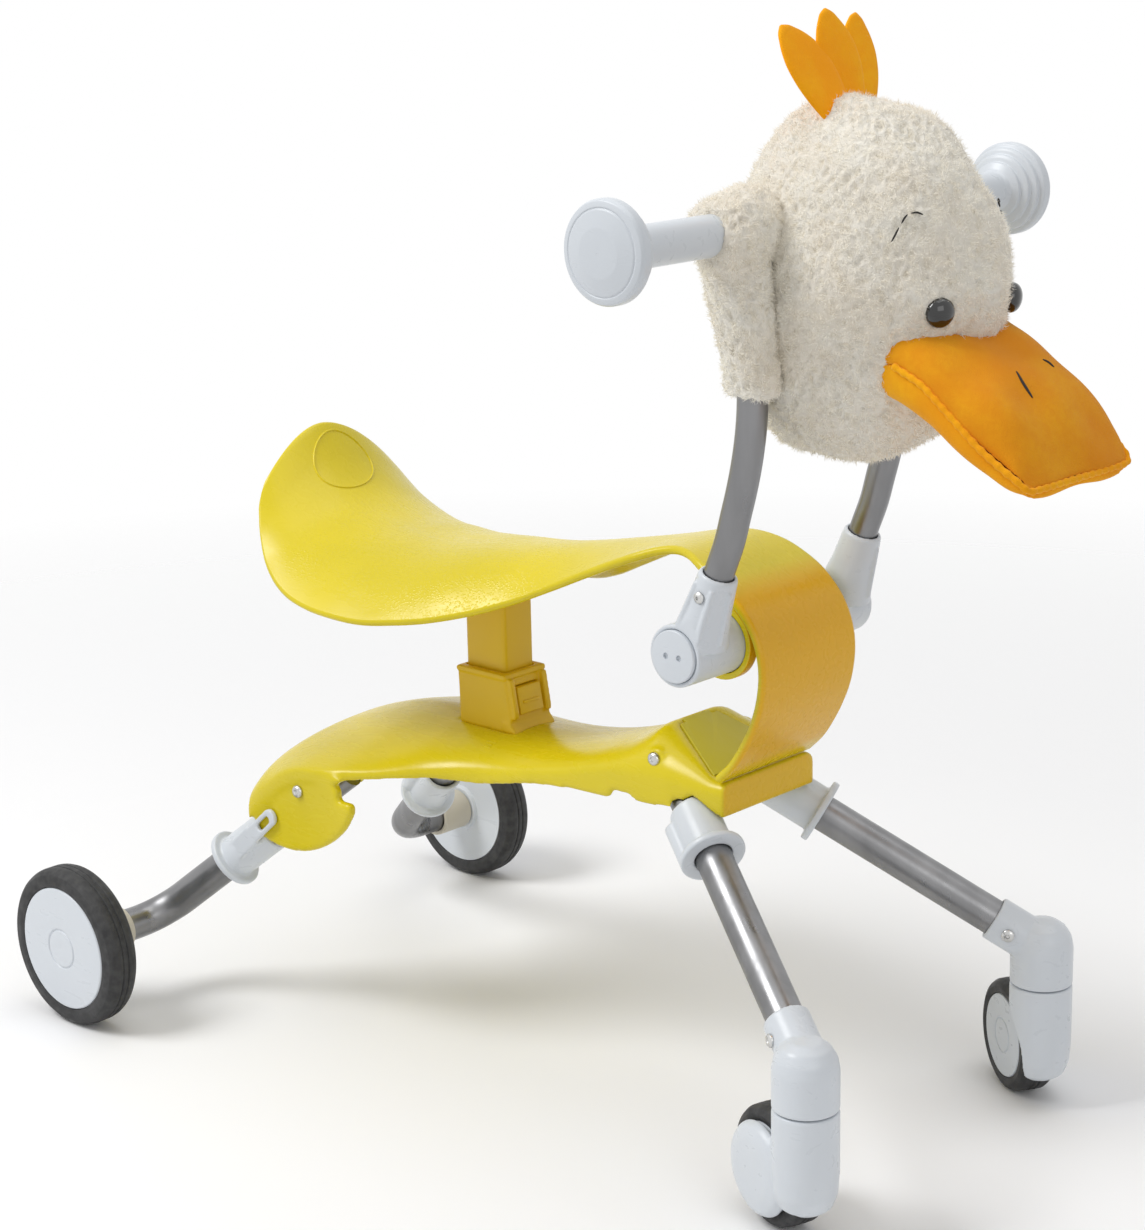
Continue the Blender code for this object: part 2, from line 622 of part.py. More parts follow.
seat = shell("seat_shell", seat_rows, SHELL_THICK)
finish(seat, model, YELLOW, 0.25)
axle_centre = place(0, AXLE_AHEAD, AXLE_UP)
ear_web = [(388.5, 292.0), (394.0, 321.0), (409.0, 314.5), (420.0, 305.0), (426.0, 290.0)]
for side, sign in SIDES:
    join(seat, cylinder(f"ear_{side}", EAR_RADIUS, EAR_INNER, EAR_OUTER, axle_centre, X_AXIS * sign, 24),
         side_plate(f"ear_web_{side}", ear_web, sign * (EAR_INNER + 0.5), sign * (EAR_OUTER - 0.5)))
    cut(seat, cylinder(f"ear_counterbore_{side}", BARREL_RADIUS + GAP, BARREL_INNER - 0.4, EAR_OUTER + 14, axle_centre,
                       X_AXIS * sign, 24))
cut(seat, cylinder("ear_bore", AXLE_RADIUS + GAP, -60, 60, axle_centre, X_AXIS, 24),
    block("band_foot_trim", place(0, 400, BAND_FOOT_UP - 10), Z_AXIS, X_AXIS, (-60, 60), (-30, 30), (-20, 10)))

# Handlebar
axle = cylinder("handle_axle", AXLE_RADIUS, -AXLE_HALF_LENGTH, AXLE_HALF_LENGTH, axle_centre, X_AXIS, 24)
finish(axle, model, STEEL, 0.35, 0.8)
lean = heading(0, math.sin(SLEEVE_LEAN), math.cos(SLEEVE_LEAN))
handle_body = [axle]
grip_spot = place(0, GRIP_AHEAD, GRIP_UP)


def handle_path(sign):
    """The line of one upright tube, from inside its sleeve to the cross bar."""
    foot = place(sign * SLEEVE_ACROSS, SLEEVE_FOOT_AHEAD, AXLE_UP)
    bend = [(434.0, 347.7), (437.7, 360.5), (441.5, 373.5), (444.6, 386.0), (447.0, 398.5), (448.7, 412.0),
            (449.4, 430.0), (449.0, 455.0), (GRIP_AHEAD, GRIP_UP)]
    return [foot + lean * 22 * MM, foot + lean * 50 * MM] + [place(sign * SLEEVE_ACROSS, *spot) for spot in bend]


def cross_bar(name, radius):
    return cylinder(name, radius, -160, 160, grip_spot, X_AXIS, 14)


frame = cross_bar("handle_frame", HANDLE_RADIUS)
finish(frame, model, STEEL, 0.35, 0.8)
handle_body.append(frame)
for side, sign in SIDES:
    outward = X_AXIS * sign
    join(frame, tube(f"upright_{side}", handle_path(sign), HANDLE_RADIUS, 2))

    foot = place(sign * SLEEVE_ACROSS, SLEEVE_FOOT_AHEAD, AXLE_UP)
    knuckle = turned(
        f"fork_knuckle_{side}",
        [(AXLE_RADIUS + GAP, BARREL_INNER), (BARREL_RADIUS, BARREL_INNER), (BARREL_RADIUS, BARREL_OUTER - 1.2),
         (BARREL_RADIUS - 1.2, BARREL_OUTER), (0, BARREL_OUTER), (0, AXLE_HALF_LENGTH + GAP), (AXLE_RADIUS + GAP, AXLE_HALF_LENGTH + GAP)],
        axle_centre, outward, 18, True,
    )
    finish(knuckle, model, WHITE, 0.3)
    sleeve = turned(f"sleeve_{side}", [(0, 12), (SLEEVE_FOOT_RADIUS, 12), (SLEEVE_TOP_RADIUS + 0.6, SLEEVE_LENGTH - 10),
                                       (SLEEVE_TOP_RADIUS, SLEEVE_LENGTH), (0, SLEEVE_LENGTH)], foot, lean, 18)
    join(knuckle, sleeve)
    cut(knuckle, cylinder(f"cap_room_{side}", CAP_RADIUS + GAP, BARREL_OUTER - 1.8, BARREL_OUTER + 6, axle_centre,
                          outward, 24))
    cut(knuckle, cylinder(f"tube_hole_{side}", HANDLE_RADIUS + 1.5 * GAP, 21.5, 60, foot, lean, 16))
    screw_spot = foot + lean * 36 * MM
    screw_bore = cylinder(f"screw_bore_{side}", 1.8, 8.9, 14, screw_spot, outward, 8)
    cut(knuckle, screw_bore)
    screw = turned(f"sleeve_screw_{side}", [(0, 9.2), (1.4, 9.2), (1.4, 11.5), (3.2, 11.5), (3.2, 12.5), (2.2, 13.3),
                                            (0, 13.5)], screw_spot, outward, 10)
    finish(screw, model, BRIGHT, 0.3, 1.0)

    cap = turned(f"knuckle_cap_{side}", [(0, BARREL_OUTER - 1.5), (CAP_RADIUS, BARREL_OUTER - 1.5),
                                         (CAP_RADIUS, BARREL_OUTER + 0.8), (CAP_RADIUS - 1, BARREL_OUTER + 1.6),
                                         (0, BARREL_OUTER + 1.8)], axle_centre, outward, 20)
    finish(cap, model, WHITE, 0.3)
    for name, shift in (("fore", 4.4), ("aft", -4.4)):
        cut(cap, cylinder(f"cap_dimple_{name}_{side}", 1.8, BARREL_OUTER + 0.2, BARREL_OUTER + 5,
                          place(0, AXLE_AHEAD + shift, AXLE_UP), outward, 10))

    grip = turned(
        f"grip_{side}",
        [(HANDLE_RADIUS + GAP, GRIP_INNER), (GRIP_RADIUS, GRIP_INNER), (GRIP_RADIUS, 150), (12, 153.5),
         (20.5, 156.5), (20.5, 159), (19, 160), (23.6, 161.6), (DISC_RADIUS, 163.5), (DISC_RADIUS, 168),
         (24, 170), (19.5, 171.2), (0, GRIP_OUTER), (0, 160 + GAP), (HANDLE_RADIUS + GAP, 160 + GAP)],
        grip_spot, outward, 16, True,
    )
    finish(grip, model, WHITE, 0.35)
    handle_body += [knuckle, screw, cap, grip]

# Plush head, sleeves, beak, tuft and eyes
HEAD_RINGS = 12
HEAD_STEPS = 20


def head_shape(name, growth):
    rings = []
    for i in range(1, HEAD_RINGS):
        angle = math.pi * i / HEAD_RINGS
        height = math.cos(angle)
        spread = math.sin(angle) ** (0.86 if height > 0 else 0.72)
        narrow = 1.0 - 0.12 * max(0.0, height) ** 2 - 0.04 * max(0.0, -height)
        lean = -11 * height if height > 0 else 12 * height
        ring = []
        for j in range(HEAD_STEPS):
            around = 2 * math.pi * j / HEAD_STEPS
            ring.append(place((HEAD_HALF_WIDTH + growth) * spread * narrow * math.cos(around),
                              HEAD_AHEAD + lean + (HEAD_HALF_DEPTH + growth) * spread * narrow * math.sin(around),
                              HEAD_UP + (HEAD_HALF_HEIGHT + growth) * height))
        rings.append(ring)
    top = place(0, HEAD_AHEAD - 11, HEAD_UP + HEAD_HALF_HEIGHT + growth)
    low = place(0, HEAD_AHEAD - 12, HEAD_UP - HEAD_HALF_HEIGHT - growth)
    points = [top] + [p for ring in rings for p in ring] + [low]
    faces = []
    for j in range(HEAD_STEPS):
        after = (j + 1) % HEAD_STEPS
        faces.append([0, 1 + j, 1 + after])
        for i in range(HEAD_RINGS - 2):
            start = 1 + i * HEAD_STEPS
            faces.append([start + j, start + HEAD_STEPS + j, start + HEAD_STEPS + after, start + after])
        start = 1 + (HEAD_RINGS - 2) * HEAD_STEPS
        faces.append([start + j, len(points) - 1, start + after])
    return from_mesh(name, points, faces, 60)


head = head_shape("plush_head", 0.0)
finish(head, model, PLUSH, 0.95)
handle_body.append(head)
cut(head, cross_bar("head_tunnel", HANDLE_RADIUS + GAP + 0.2))
head_clear = head_shape("head_clear", GAP + 0.2)
finish(head_clear, cutters)

for side, sign in SIDES:
    outward = X_AXIS * sign
    path = handle_path(sign)
    clearance = tube(f"upright_room_{side}", path, HANDLE_RADIUS + GAP, 2)
    cut(head, clearance)
    sleeve_path = [place(sign * 64.0, 449.5, 427), place(sign * 65.5, 449.5, 445), place(sign * 67.5, 449, 465),
                   place(sign * 71, 448, 486), place(sign * 75, 447.3, 512)]
    sleeve = tube(f"plush_sleeve_{side}", sleeve_path, 18.5, 2)
    finish(sleeve, model, PLUSH, 0.95)
    collar = turned(f"plush_cuff_{side}", [(0, 56), (19, 56), (22.5, 64), (23, 84), (21.5, 96), (17, 100), (0, 100)],
                    grip_spot, outward, 18)
    join(sleeve, collar)
    cut(
        sleeve,
        head_clear,
        cylinder(f"bar_room_{side}", HANDLE_RADIUS + GAP, 20, 120, grip_spot, outward, 16),
        cylinder(f"grip_room_{side}", GRIP_RADIUS + GAP, GRIP_INNER - GAP, 125, grip_spot, outward, 20),
        clearance,
    )
    handle_body.append(sleeve)

    eye_centre = place(sign * 30.5, 540, 470)
    eye_out = (eye_centre - place(0, HEAD_AHEAD, HEAD_UP)).normalized()
    eye = turned(f"eye_{side}", [(0, -6), (EYE_RADIUS, -6), (EYE_RADIUS, 0), (EYE_RADIUS * 0.8, 1.6),
                                 (EYE_RADIUS * 0.45, 2.7), (0, 3.1)], eye_centre, eye_out, 16)
    finish(eye, model, BLACK, 0.12)
    cut(eye, head_clear)
    handle_body.append(eye)

# Beak stations: ahead, half width, seam height, top or bottom height
UPPER_BEAK = [(503, 43.0, 441.0, 463.0), (525, 46.5, 433.0, 465.0), (543, 48.0, 424.5, 457.5),
              (560, 49.0, 414.5, 447.0), (577, 49.3, 404.5, 434.5), (590, 48.0, 397.2, 419.0),
              (598, 46.5, 393.2, 404.5), (BEAK_TIP_AHEAD, 44.5, 391.3, 394.5)]
LOWER_BEAK = [(503, 41.0, 440.4, 428.0), (525, 44.5, 432.4, 417.0), (543, 46.0, 423.9, 408.0),
              (560, 47.0, 413.9, 399.0), (577, 47.2, 403.9, 390.5), (590, 46.0, 396.6, 385.0),
              (598, 44.0, 392.6, 385.5), (601, 42.0, 391.0, 388.0)]
BEAK_STEPS = 5


def beak(name, stations):
    rings = []
    for ahead, half_width, seam, far in stations:
        half = []
        for k in range(BEAK_STEPS + 1):
            angle = math.pi / 2 * k / BEAK_STEPS
            half.append((half_width * math.cos(angle) ** 0.8, seam + (far - seam) * math.sin(angle) ** 0.8))
        whole = [(-across, up) for across, up in half[:-1]] + half[::-1]
        rings.append([place(across, ahead, up) for across, up in whole])
    return loft(name, rings, 50)


for name, stations in (("beak_upper", UPPER_BEAK), ("beak_lower", LOWER_BEAK)):
    bill = beak(name, stations)
    finish(bill, model, ORANGE, 0.9)
    cut(bill, head_clear)
    handle_body.append(bill)

# Tuft petals: tip and foot, each as across, ahead and up, and half width
PETALS = {
    "tuft_right": ((-31.0, 447.0, 602.5), (-14.0, 464.0, 554.0), 12.0),
    "tuft_middle": ((-0.5, 447.0, 610.0), (0.0, 464.0, 555.0), 12.5),
    "tuft_left": ((26.0, 447.0, 608.0), (14.0, 464.0, 554.0), 11.5),
}
PETAL_STEP = 5.4
for index, (name, (tip, foot, half_width)) in enumerate(PETALS.items()):
    tip_point, foot_point = place(*tip), place(*foot)
    along = tip_point - foot_point
    flat = X_AXIS - along * (X_AXIS.dot(along) / along.length_squared)
    flat.normalize()
    deep = along.cross(flat).normalized()
    rings = []
    for share, width, depth in ((0.0, 0.75, 2.3), (0.3, 1.0, 2.5), (0.55, 0.95, 2.4), (0.75, 0.72, 2.1),
                                (0.9, 0.42, 1.5), (1.0, 0.14, 0.7)):
        centre = foot_point + along * share
        rings.append([centre + (flat * half_width * width * math.cos(2 * math.pi * k / 10)
                                + deep * (depth * math.sin(2 * math.pi * k / 10) + (index - 1) * PETAL_STEP)) * MM
                      for k in range(10)])
    petal = loft(name, rings, 60)
    finish(petal, model, TUFT, 0.9)
    cut(petal, head_clear)
    handle_body.append(petal)


def collar_of(name, origin, along, outward, lower_sign, start, end, boss, tongue):
    """A pull collar round a leg. start and end are its body's reach along the leg from origin. tongue and boss are
    spans along the leg seen from the side, or None."""
    collar = turned(name, [(0, start), (COLLAR_RADIUS - 0.8, start), (COLLAR_RADIUS, start + 1),
                           (COLLAR_RADIUS, end - 4), (FLANGE_RADIUS - 0.8, end - 4), (FLANGE_RADIUS, end - 3.2),
                           (FLANGE_RADIUS, end - 0.8), (FLANGE_RADIUS - 0.8, end), (0, end)],
                    origin, along, 18)
    finish(collar, model, WHITE, 0.3)
    out = (outward - along * outward.dot(along)).normalized()
    low = along.cross(out) * lower_sign
    ridge_way = (low - out).normalized()
    ridge = cylinder(f"{name}_ridge", 6.0, start + 4, end - 0.5, origin + ridge_way * 12.6 * MM, along, 12)
    join(collar, ridge)
    flat = Vector((0, along.y, along.z)).normalized()
    across = flat.cross(X_AXIS * (1 if outward.x > 0 else -1))
    if boss:
        inner, outer, near, far, half = boss
        join(collar, block(f"{name}_boss", Vector((0, origin.y, origin.z)), outward, flat,
                           (near, far), (-half, half), (inner, outer)))
    if tongue:
        inner, outer, near, far, half = tongue
        join(collar, block(f"{name}_tongue", Vector((0, origin.y, origin.z)), outward, flat,
                           (near + half, far), (-half, half), (inner, outer)),
             cylinder(f"{name}_tip", half, inner, outer,
                      Vector((0, origin.y, origin.z)) + flat * (near + half) * MM, outward, 14))
        for label, reach in (("near", 8.0), ("far", 17.0)):
            cut(collar, cylinder(f"{name}_window_{label}", 2.4, inner - 3, outer + 3,
                                 Vector((0, origin.y, origin.z)) + flat * (near + reach) * MM, outward, 10))
        cut(collar, block(f"{name}_window", Vector((0, origin.y, origin.z)), outward, flat,
                          (near + 8.0, near + 17.0), (-2.4, 2.4), (inner - 3, outer + 3)))
    cut(collar, cylinder(f"{name}_bore", LEG_RADIUS + 1.5 * GAP, start - 10, end + 10, origin, along, 18))
    return collar


# Rear legs and wheels
rear_down = math.sqrt(1 - REAR_LEG_OUT**2 - REAR_LEG_BACK**2)
rear_reach = (REAR_PIVOT[2] - REAR_WHEEL_RADIUS) / rear_down
for side, sign in SIDES:
    outward = X_AXIS * sign
    origin = place(sign * REAR_PIVOT[0], REAR_PIVOT[1], REAR_PIVOT[2])
    along = heading(sign * REAR_LEG_OUT, -REAR_LEG_BACK, -rear_down)
    corner = origin + along * rear_reach * MM
    axle_line = place(0, 0, REAR_WHEEL_RADIUS)
    corner = Vector((corner.x, axle_line.y, axle_line.z))
    end = Vector((sign * REAR_TUBE_END * MM, axle_line.y, axle_line.z))
    path = rounded_path([origin - along * 8 * MM, corner, end], REAR_BEND_RADIUS, 7)
    leg = tube(f"rear_leg_{side}", path, LEG_RADIUS, 2)
    finish(leg, model, STEEL, 0.35, 0.8)
    pin_line = place(0, *REAR_PIVOT[1:])
    cut(leg, cylinder(f"rear_leg_hole_{side}", PIN_RADIUS + GAP, 30, 100, pin_line, outward, 16))
    pin = turned(f"rear_pin_{side}", [(0, BRACKET_INNER), (PIN_RADIUS, BRACKET_INNER), (PIN_RADIUS, PLATE_OUTER + GAP),
                                      (4.5, PLATE_OUTER + GAP), (4.5, PLATE_OUTER + 1.4), (3.2, PLATE_OUTER + 2.4),
                                      (0, PLATE_OUTER + 2.6)], pin_line, outward, 12)
    finish(pin, model, BRIGHT, 0.3, 1.0)
    collar = collar_of(f"rear_collar_{side}", origin, along, outward, -sign, 60, 98,
                       (79.0, 92.8, 56.0, 80.0, 6.5), (PLATE_OUTER + 0.5, 92.8, 28.0, 70.0, 5.3))
    bush = turned(
        f"axle_bush_{side}",
        [(LEG_RADIUS + GAP, REAR_BUSH_INNER), (13.2, REAR_BUSH_INNER), (13.5, REAR_BUSH_INNER + 1),
         (13.5, REAR_BUSH_OUTER - 1), (12.8, REAR_BUSH_OUTER), (4 + GAP, REAR_BUSH_OUTER),
         (4 + GAP, REAR_TUBE_END + GAP), (LEG_RADIUS + GAP, REAR_TUBE_END + GAP)],
        axle_line, outward, 16, True,
    )
    finish(bush, model, (0.72, 0.68, 0.60), 0.5)
    axle_pin = cylinder(f"rear_axle_{side}", 4.0, REAR_TUBE_END + 2 * GAP, REAR_TYRE_OUTER - 6, axle_line, outward, 16)
    finish(axle_pin, model, BRIGHT, 0.3, 1.0)
    tyre = turned(
        f"rear_tyre_{side}",
        [(REAR_HUB_RADIUS + GAP, REAR_TYRE_INNER + 1), (45, REAR_TYRE_INNER + 0.4), (49, REAR_TYRE_INNER + 3),
         (REAR_WHEEL_RADIUS, REAR_TYRE_INNER + 7), (REAR_WHEEL_RADIUS, REAR_TYRE_OUTER - 7), (49, REAR_TYRE_OUTER - 3),
         (45, REAR_TYRE_OUTER - 0.4), (REAR_HUB_RADIUS + GAP, REAR_TYRE_OUTER - 1)],
        axle_line, outward, 22, True,
    )
    finish(tyre, model, BLACK, 0.75)
    hub = turned(
        f"rear_hub_{side}",
        [(4 + GAP, REAR_TYRE_INNER), (15, REAR_TYRE_INNER), (16, REAR_TYRE_INNER + 2.5), (33, REAR_TYRE_INNER + 1.6),
         (REAR_HUB_RADIUS, REAR_TYRE_INNER + 1), (REAR_HUB_RADIUS, REAR_TYRE_OUTER - 1.4),
         (37.6, REAR_TYRE_OUTER - 0.6), (12.6, REAR_TYRE_OUTER), (12, REAR_TYRE_OUTER - 0.8),
         (11.4, REAR_TYRE_OUTER), (0, REAR_TYRE_OUTER), (0, REAR_TYRE_OUTER - 5.7), (4 + GAP, REAR_TYRE_OUTER - 5.7)],
        axle_line, outward, 22, True,
    )
    finish(hub, model, WHITE, 0.3)
    slide = pivot(f"rear_collar_slide_{side}", origin, collar)
    spin = pivot(f"rear_wheel_spin_{side}", end, tyre, hub)
    fold = pivot(f"rear_leg_fold_{side}", pin_line, leg, bush, axle_pin)
    bpy.context.view_layer.update()
    for child in (slide, spin):
        child.parent = fold
        child.matrix_parent_inverse = fold.matrix_world.inverted()

# Front legs and casters
front_down = math.sqrt(1 - FRONT_LEG_OUT**2 - FRONT_LEG_AHEAD**2)
front_reach = (CASTER_ACROSS - FRONT_LEG_START[0]) / FRONT_LEG_OUT
for side, sign in SIDES:
    outward = X_AXIS * sign
    origin = place(sign * FRONT_LEG_START[0], FRONT_LEG_START[1], FRONT_LEG_START[2])
    along = heading(sign * FRONT_LEG_OUT, FRONT_LEG_AHEAD, -front_down)
    pin_line = place(0, *FRONT_PIVOT[1:])
    tube_end = front_reach - 15
    leg = tube(f"front_leg_{side}", [origin, origin + along * 60 * MM, origin + along * tube_end * MM], LEG_RADIUS, 2)
    finish(leg, model, STEEL, 0.35, 0.8)
    cut(leg, block(f"front_leg_trim_{side}", place(0, FRONT_PIVOT[1] + 1, 200), heading(0, -1, 0), X_AXIS,
                   (-60, 60), (-40, 40), (0, 50)))
    join(leg, cylinder(f"front_eye_{side}", 7.6, 11.6, 22.0, pin_line, outward, 20))
    cut(leg, cylinder(f"front_leg_hole_{side}", PIN_RADIUS + GAP, 0, 80, pin_line, outward, 16))
    pin = turned(f"front_pin_{side}", [(0, 4.4), (PIN_RADIUS, 4.4), (PIN_RADIUS, FRONT_BOSS_OUTER + GAP),
                                       (4.5, FRONT_BOSS_OUTER + GAP), (4.5, FRONT_BOSS_OUTER + 1.5),
                                       (3.2, FRONT_BOSS_OUTER + 2.5), (0, FRONT_BOSS_OUTER + 2.7)], pin_line, outward, 12)
    finish(pin, model, BRIGHT, 0.3, 1.0)
    collar = collar_of(f"front_collar_{side}", origin, along, outward, -sign, 34, 64, None, None)

    stem_line = place(sign * CASTER_ACROSS, CASTER_AHEAD, 0)
    elbow = turned(
        f"elbow_{side}",
        [(0, CASTER_PARTING_UP + GAP), (CASTER_HEAD_RADIUS, CASTER_PARTING_UP + GAP), (CASTER_HEAD_RADIUS, 96),
         (16.4, 102), (13.2, 107.4), (8.2, 110.8), (0, 112.2)],
        stem_line, Z_AXIS, 18,
    )
    finish(elbow, model, WHITE, 0.3)
    join(elbow, turned(f"elbow_arm_{side}", [(0, 175), (11.8, 175), (12.7, 176), (12.7, front_reach - 4),
                                             (0, front_reach - 4)], origin, along, 18))
    cut(elbow, cylinder(f"elbow_hole_{side}", LEG_RADIUS + 1.5 * GAP, 150, tube_end + 1, origin, along, 16),
        cylinder(f"stem_hole_{side}", 5.3, 60, 97, stem_line, Z_AXIS, 14))
    level = along.cross(Z_AXIS).normalized()
    if level.dot(Vector((-1, 0, 0))) < 0:
        level = -level
    bolt_line = origin + along * 186 * MM
    for target in (elbow, leg):
        cut(target, cylinder(f"bolt_hole_{target.name}", 2.5, -20, 20, bolt_line, level, 8))
    bolt = turned(f"elbow_bolt_{side}", [(0, -12.9), (2.2, -12.9), (2.2, 12.8), (3.6, 12.8), (3.6, 14.0), (2.6, 14.6),
                                         (0, 14.6)], bolt_line, level, 8)
    finish(bolt, model, BRIGHT, 0.35, 1.0)

    turn = CASTER_TURN[side]
    trail = Vector((math.sin(turn), math.cos(turn), 0))
    outboard = Vector((math.cos(turn), -math.sin(turn), 0)) * sign
    axle_line = stem_line + trail * CASTER_TRAIL * MM - outboard * CASTER_OFFSET * MM
    axle_line.z = CASTER_WHEEL_RADIUS * MM
    face = CASTER_HALF_WIDTH
    hood = turned(
        f"caster_hood_{side}",
        [(0, 17), (9, 17.5), (14, 21), (16.6, 28), (CASTER_HEAD_RADIUS, 40), (CASTER_HEAD_RADIUS, CASTER_PARTING_UP - GAP),
         (0, CASTER_PARTING_UP - GAP)],
        stem_line, Z_AXIS, 18,
    )
    finish(hood, model, WHITE, 0.3)
    join(hood, turned(f"lobe_{side}", [(0, face + 0.9), (24.5, face + 0.9), (LOBE_RADIUS, face + 2),
                                       (LOBE_RADIUS, face + 3.5), (23, face + 6.5), (17, face + 8), (0, face + 8.4)],
                      axle_line, outboard, 20))
    cut(
        hood,
        cylinder(f"wheel_room_{side}", CASTER_WHEEL_RADIUS + 1.6, -60, face + 0.7, axle_line, outboard, 24),
        cylinder(f"caster_axle_hole_{side}", 3.5 + GAP, 0, face + 5, axle_line, outboard, 12),
        cylinder(f"hood_stem_hole_{side}", 5.3, 62, 90, stem_line, Z_AXIS, 14),
    )
    stem = cylinder(f"caster_stem_{side}", 5.0, 62.3, 96.7, stem_line, Z_AXIS, 14)
    finish(stem, model, BRIGHT, 0.3, 1.0)
    wheel_axle = cylinder(f"caster_axle_{side}", 3.5, -face + 3, face + 4.7, axle_line, outboard, 12)
    finish(wheel_axle, model, BRIGHT, 0.3, 1.0)
    tyre = turned(
        f"caster_tyre_{side}",
        [(CASTER_HUB_RADIUS + GAP, -face + 0.8), (26, -face), (30.4, -face + 1.2), (CASTER_WHEEL_RADIUS, -face + 4.5),
         (CASTER_WHEEL_RADIUS, face - 4.5), (30.4, face - 1.2), (26, face), (CASTER_HUB_RADIUS + GAP, face - 0.8)],
        axle_line, outboard, 20, True,
    )
    finish(tyre, model, BLACK, 0.75)
    hub = turned(
        f"caster_hub_{side}",
        [(0, -face + 0.4), (9.4, -face + 0.4), (10, -face + 1.2), (10.6, -face + 0.4),
         (CASTER_HUB_RADIUS - 1, -face + 0.4), (CASTER_HUB_RADIUS, -face + 1.2), (CASTER_HUB_RADIUS, face - 1.2),
         (CASTER_HUB_RADIUS - 1, face - 0.4), (3.5 + GAP, face - 0.4), (3.5 + GAP, -face + 2.7), (0, -face + 2.7)],
        axle_line, outboard, 20, True,
    )
    finish(hub, model, WHITE, 0.3)
    spin = pivot(f"caster_spin_{side}", axle_line, tyre, hub)
    swivel = pivot(f"caster_swivel_{side}", stem_line, hood, stem, wheel_axle)
    slide = pivot(f"front_collar_slide_{side}", origin, collar)
    fold = pivot(f"front_leg_fold_{side}", pin_line, leg, elbow, bolt)
    bpy.context.view_layer.update()
    for child, holder in ((spin, swivel), (slide, fold), (swivel, fold)):
        child.parent = holder
        child.matrix_parent_inverse = holder.matrix_world.inverted()

pivot("handlebar_fold", axle_centre, *handle_body)
pivot("latch_slide", place(0, SOCKET_FRONT_AHEAD, (BUTTON_BOTTOM + BUTTON_TOP) / 2), button)
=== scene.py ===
import math

import bmesh
import bpy
import numpy as np
from mathutils import Matrix, Vector


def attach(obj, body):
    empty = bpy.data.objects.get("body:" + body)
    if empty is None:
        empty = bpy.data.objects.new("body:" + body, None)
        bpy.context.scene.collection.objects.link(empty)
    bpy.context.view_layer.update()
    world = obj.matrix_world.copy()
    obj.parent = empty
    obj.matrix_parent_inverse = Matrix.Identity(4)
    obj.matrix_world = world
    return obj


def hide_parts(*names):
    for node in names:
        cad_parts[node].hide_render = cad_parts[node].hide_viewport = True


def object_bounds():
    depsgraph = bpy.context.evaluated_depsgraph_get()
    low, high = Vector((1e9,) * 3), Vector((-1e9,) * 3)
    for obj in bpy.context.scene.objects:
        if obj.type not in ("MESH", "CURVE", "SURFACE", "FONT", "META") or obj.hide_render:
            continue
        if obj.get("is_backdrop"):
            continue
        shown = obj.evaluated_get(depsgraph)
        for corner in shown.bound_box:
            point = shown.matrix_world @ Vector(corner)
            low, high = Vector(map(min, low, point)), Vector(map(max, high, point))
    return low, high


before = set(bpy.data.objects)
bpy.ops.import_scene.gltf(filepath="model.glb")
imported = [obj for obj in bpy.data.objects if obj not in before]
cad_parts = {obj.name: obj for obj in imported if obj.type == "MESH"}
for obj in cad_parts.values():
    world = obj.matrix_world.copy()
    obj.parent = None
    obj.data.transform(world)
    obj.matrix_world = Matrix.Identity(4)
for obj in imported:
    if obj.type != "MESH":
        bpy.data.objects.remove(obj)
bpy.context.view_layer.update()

# Common values: lengths are in mm, and places are across, ahead of the rear axle and up
MM = 0.001
REAR_AXLE = 276.0
TUBE_RADIUS = 8.0
LEG_RADIUS = 10.25
LEG_BORE = 10.7
COLLAR_RADIUS = 13.5
REAR_RADIUS = 50.0
CASTER_RADIUS = 32.5
SHARP_ANGLE = 38
SIDES = (("right", -1), ("left", 1))
ACROSS = np.array([1.0, 0.0, 0.0])
UP = np.array([0.0, 0.0, 1.0])
DOWN = Vector((0, 0, -1))

# Shapes


def at(across, ahead, up):
    """Points in metres, from millimetres across the middle, ahead of the rear axle and up from the floor."""
    across, ahead, up = np.broadcast_arrays(*(np.asarray(part, float) for part in (across, ahead, up)))
    return np.stack([across, REAR_AXLE - ahead, up], -1) * MM


def unit(vectors):
    """Each vector divided by its own length."""
    return vectors / np.maximum(np.linalg.norm(vectors, axis=-1, keepdims=True), 1e-12)


def toward(across, ahead, up):
    """The unit vector of a direction given across, ahead and up."""
    return unit(np.array([across, -ahead, up], float))


def square_to(axis, turn=None):
    """Two unit vectors square to axis and to each other, the first as near to turn as it can be."""
    axis = unit(np.asarray(axis, float))
    if turn is None:
        turn = UP if abs(axis[2]) < 0.9 else ACROSS
    first = unit(turn - axis * (axis @ turn))
    return first, np.cross(axis, first), axis


def through(knots, values, spots):
    """A smooth curve through the knots: on each span the cubic that has its ends and their slopes."""
    knots, values, spots = (np.asarray(part, float) for part in (knots, values, spots))
    slopes = np.gradient(values, knots, axis=0)
    span = np.clip(np.searchsorted(knots, spots, side="right") - 1, 0, len(knots) - 2)
    tail = (slice(None),) + (None,) * (values.ndim - 1)
    width = (knots[span + 1] - knots[span])[tail]
    s = (spots - knots[span])[tail] / width
    return ((2 * s**3 - 3 * s**2 + 1) * values[span] + (s**3 - 2 * s**2 + s) * width * slopes[span]
            + (3 * s**2 - 2 * s**3) * values[span + 1] + (s**3 - s**2) * width * slopes[span + 1])


def run_along(line):
    """How far along the line each of its points lies."""
    return np.concatenate([[0], np.cumsum(np.linalg.norm(np.diff(line, axis=0), axis=1))])


def smooth_line(knots, count):
    """Evenly spaced points of the smooth curve through the knots."""
    run = run_along(knots)
    return through(run, knots, np.linspace(0, run[-1], count))


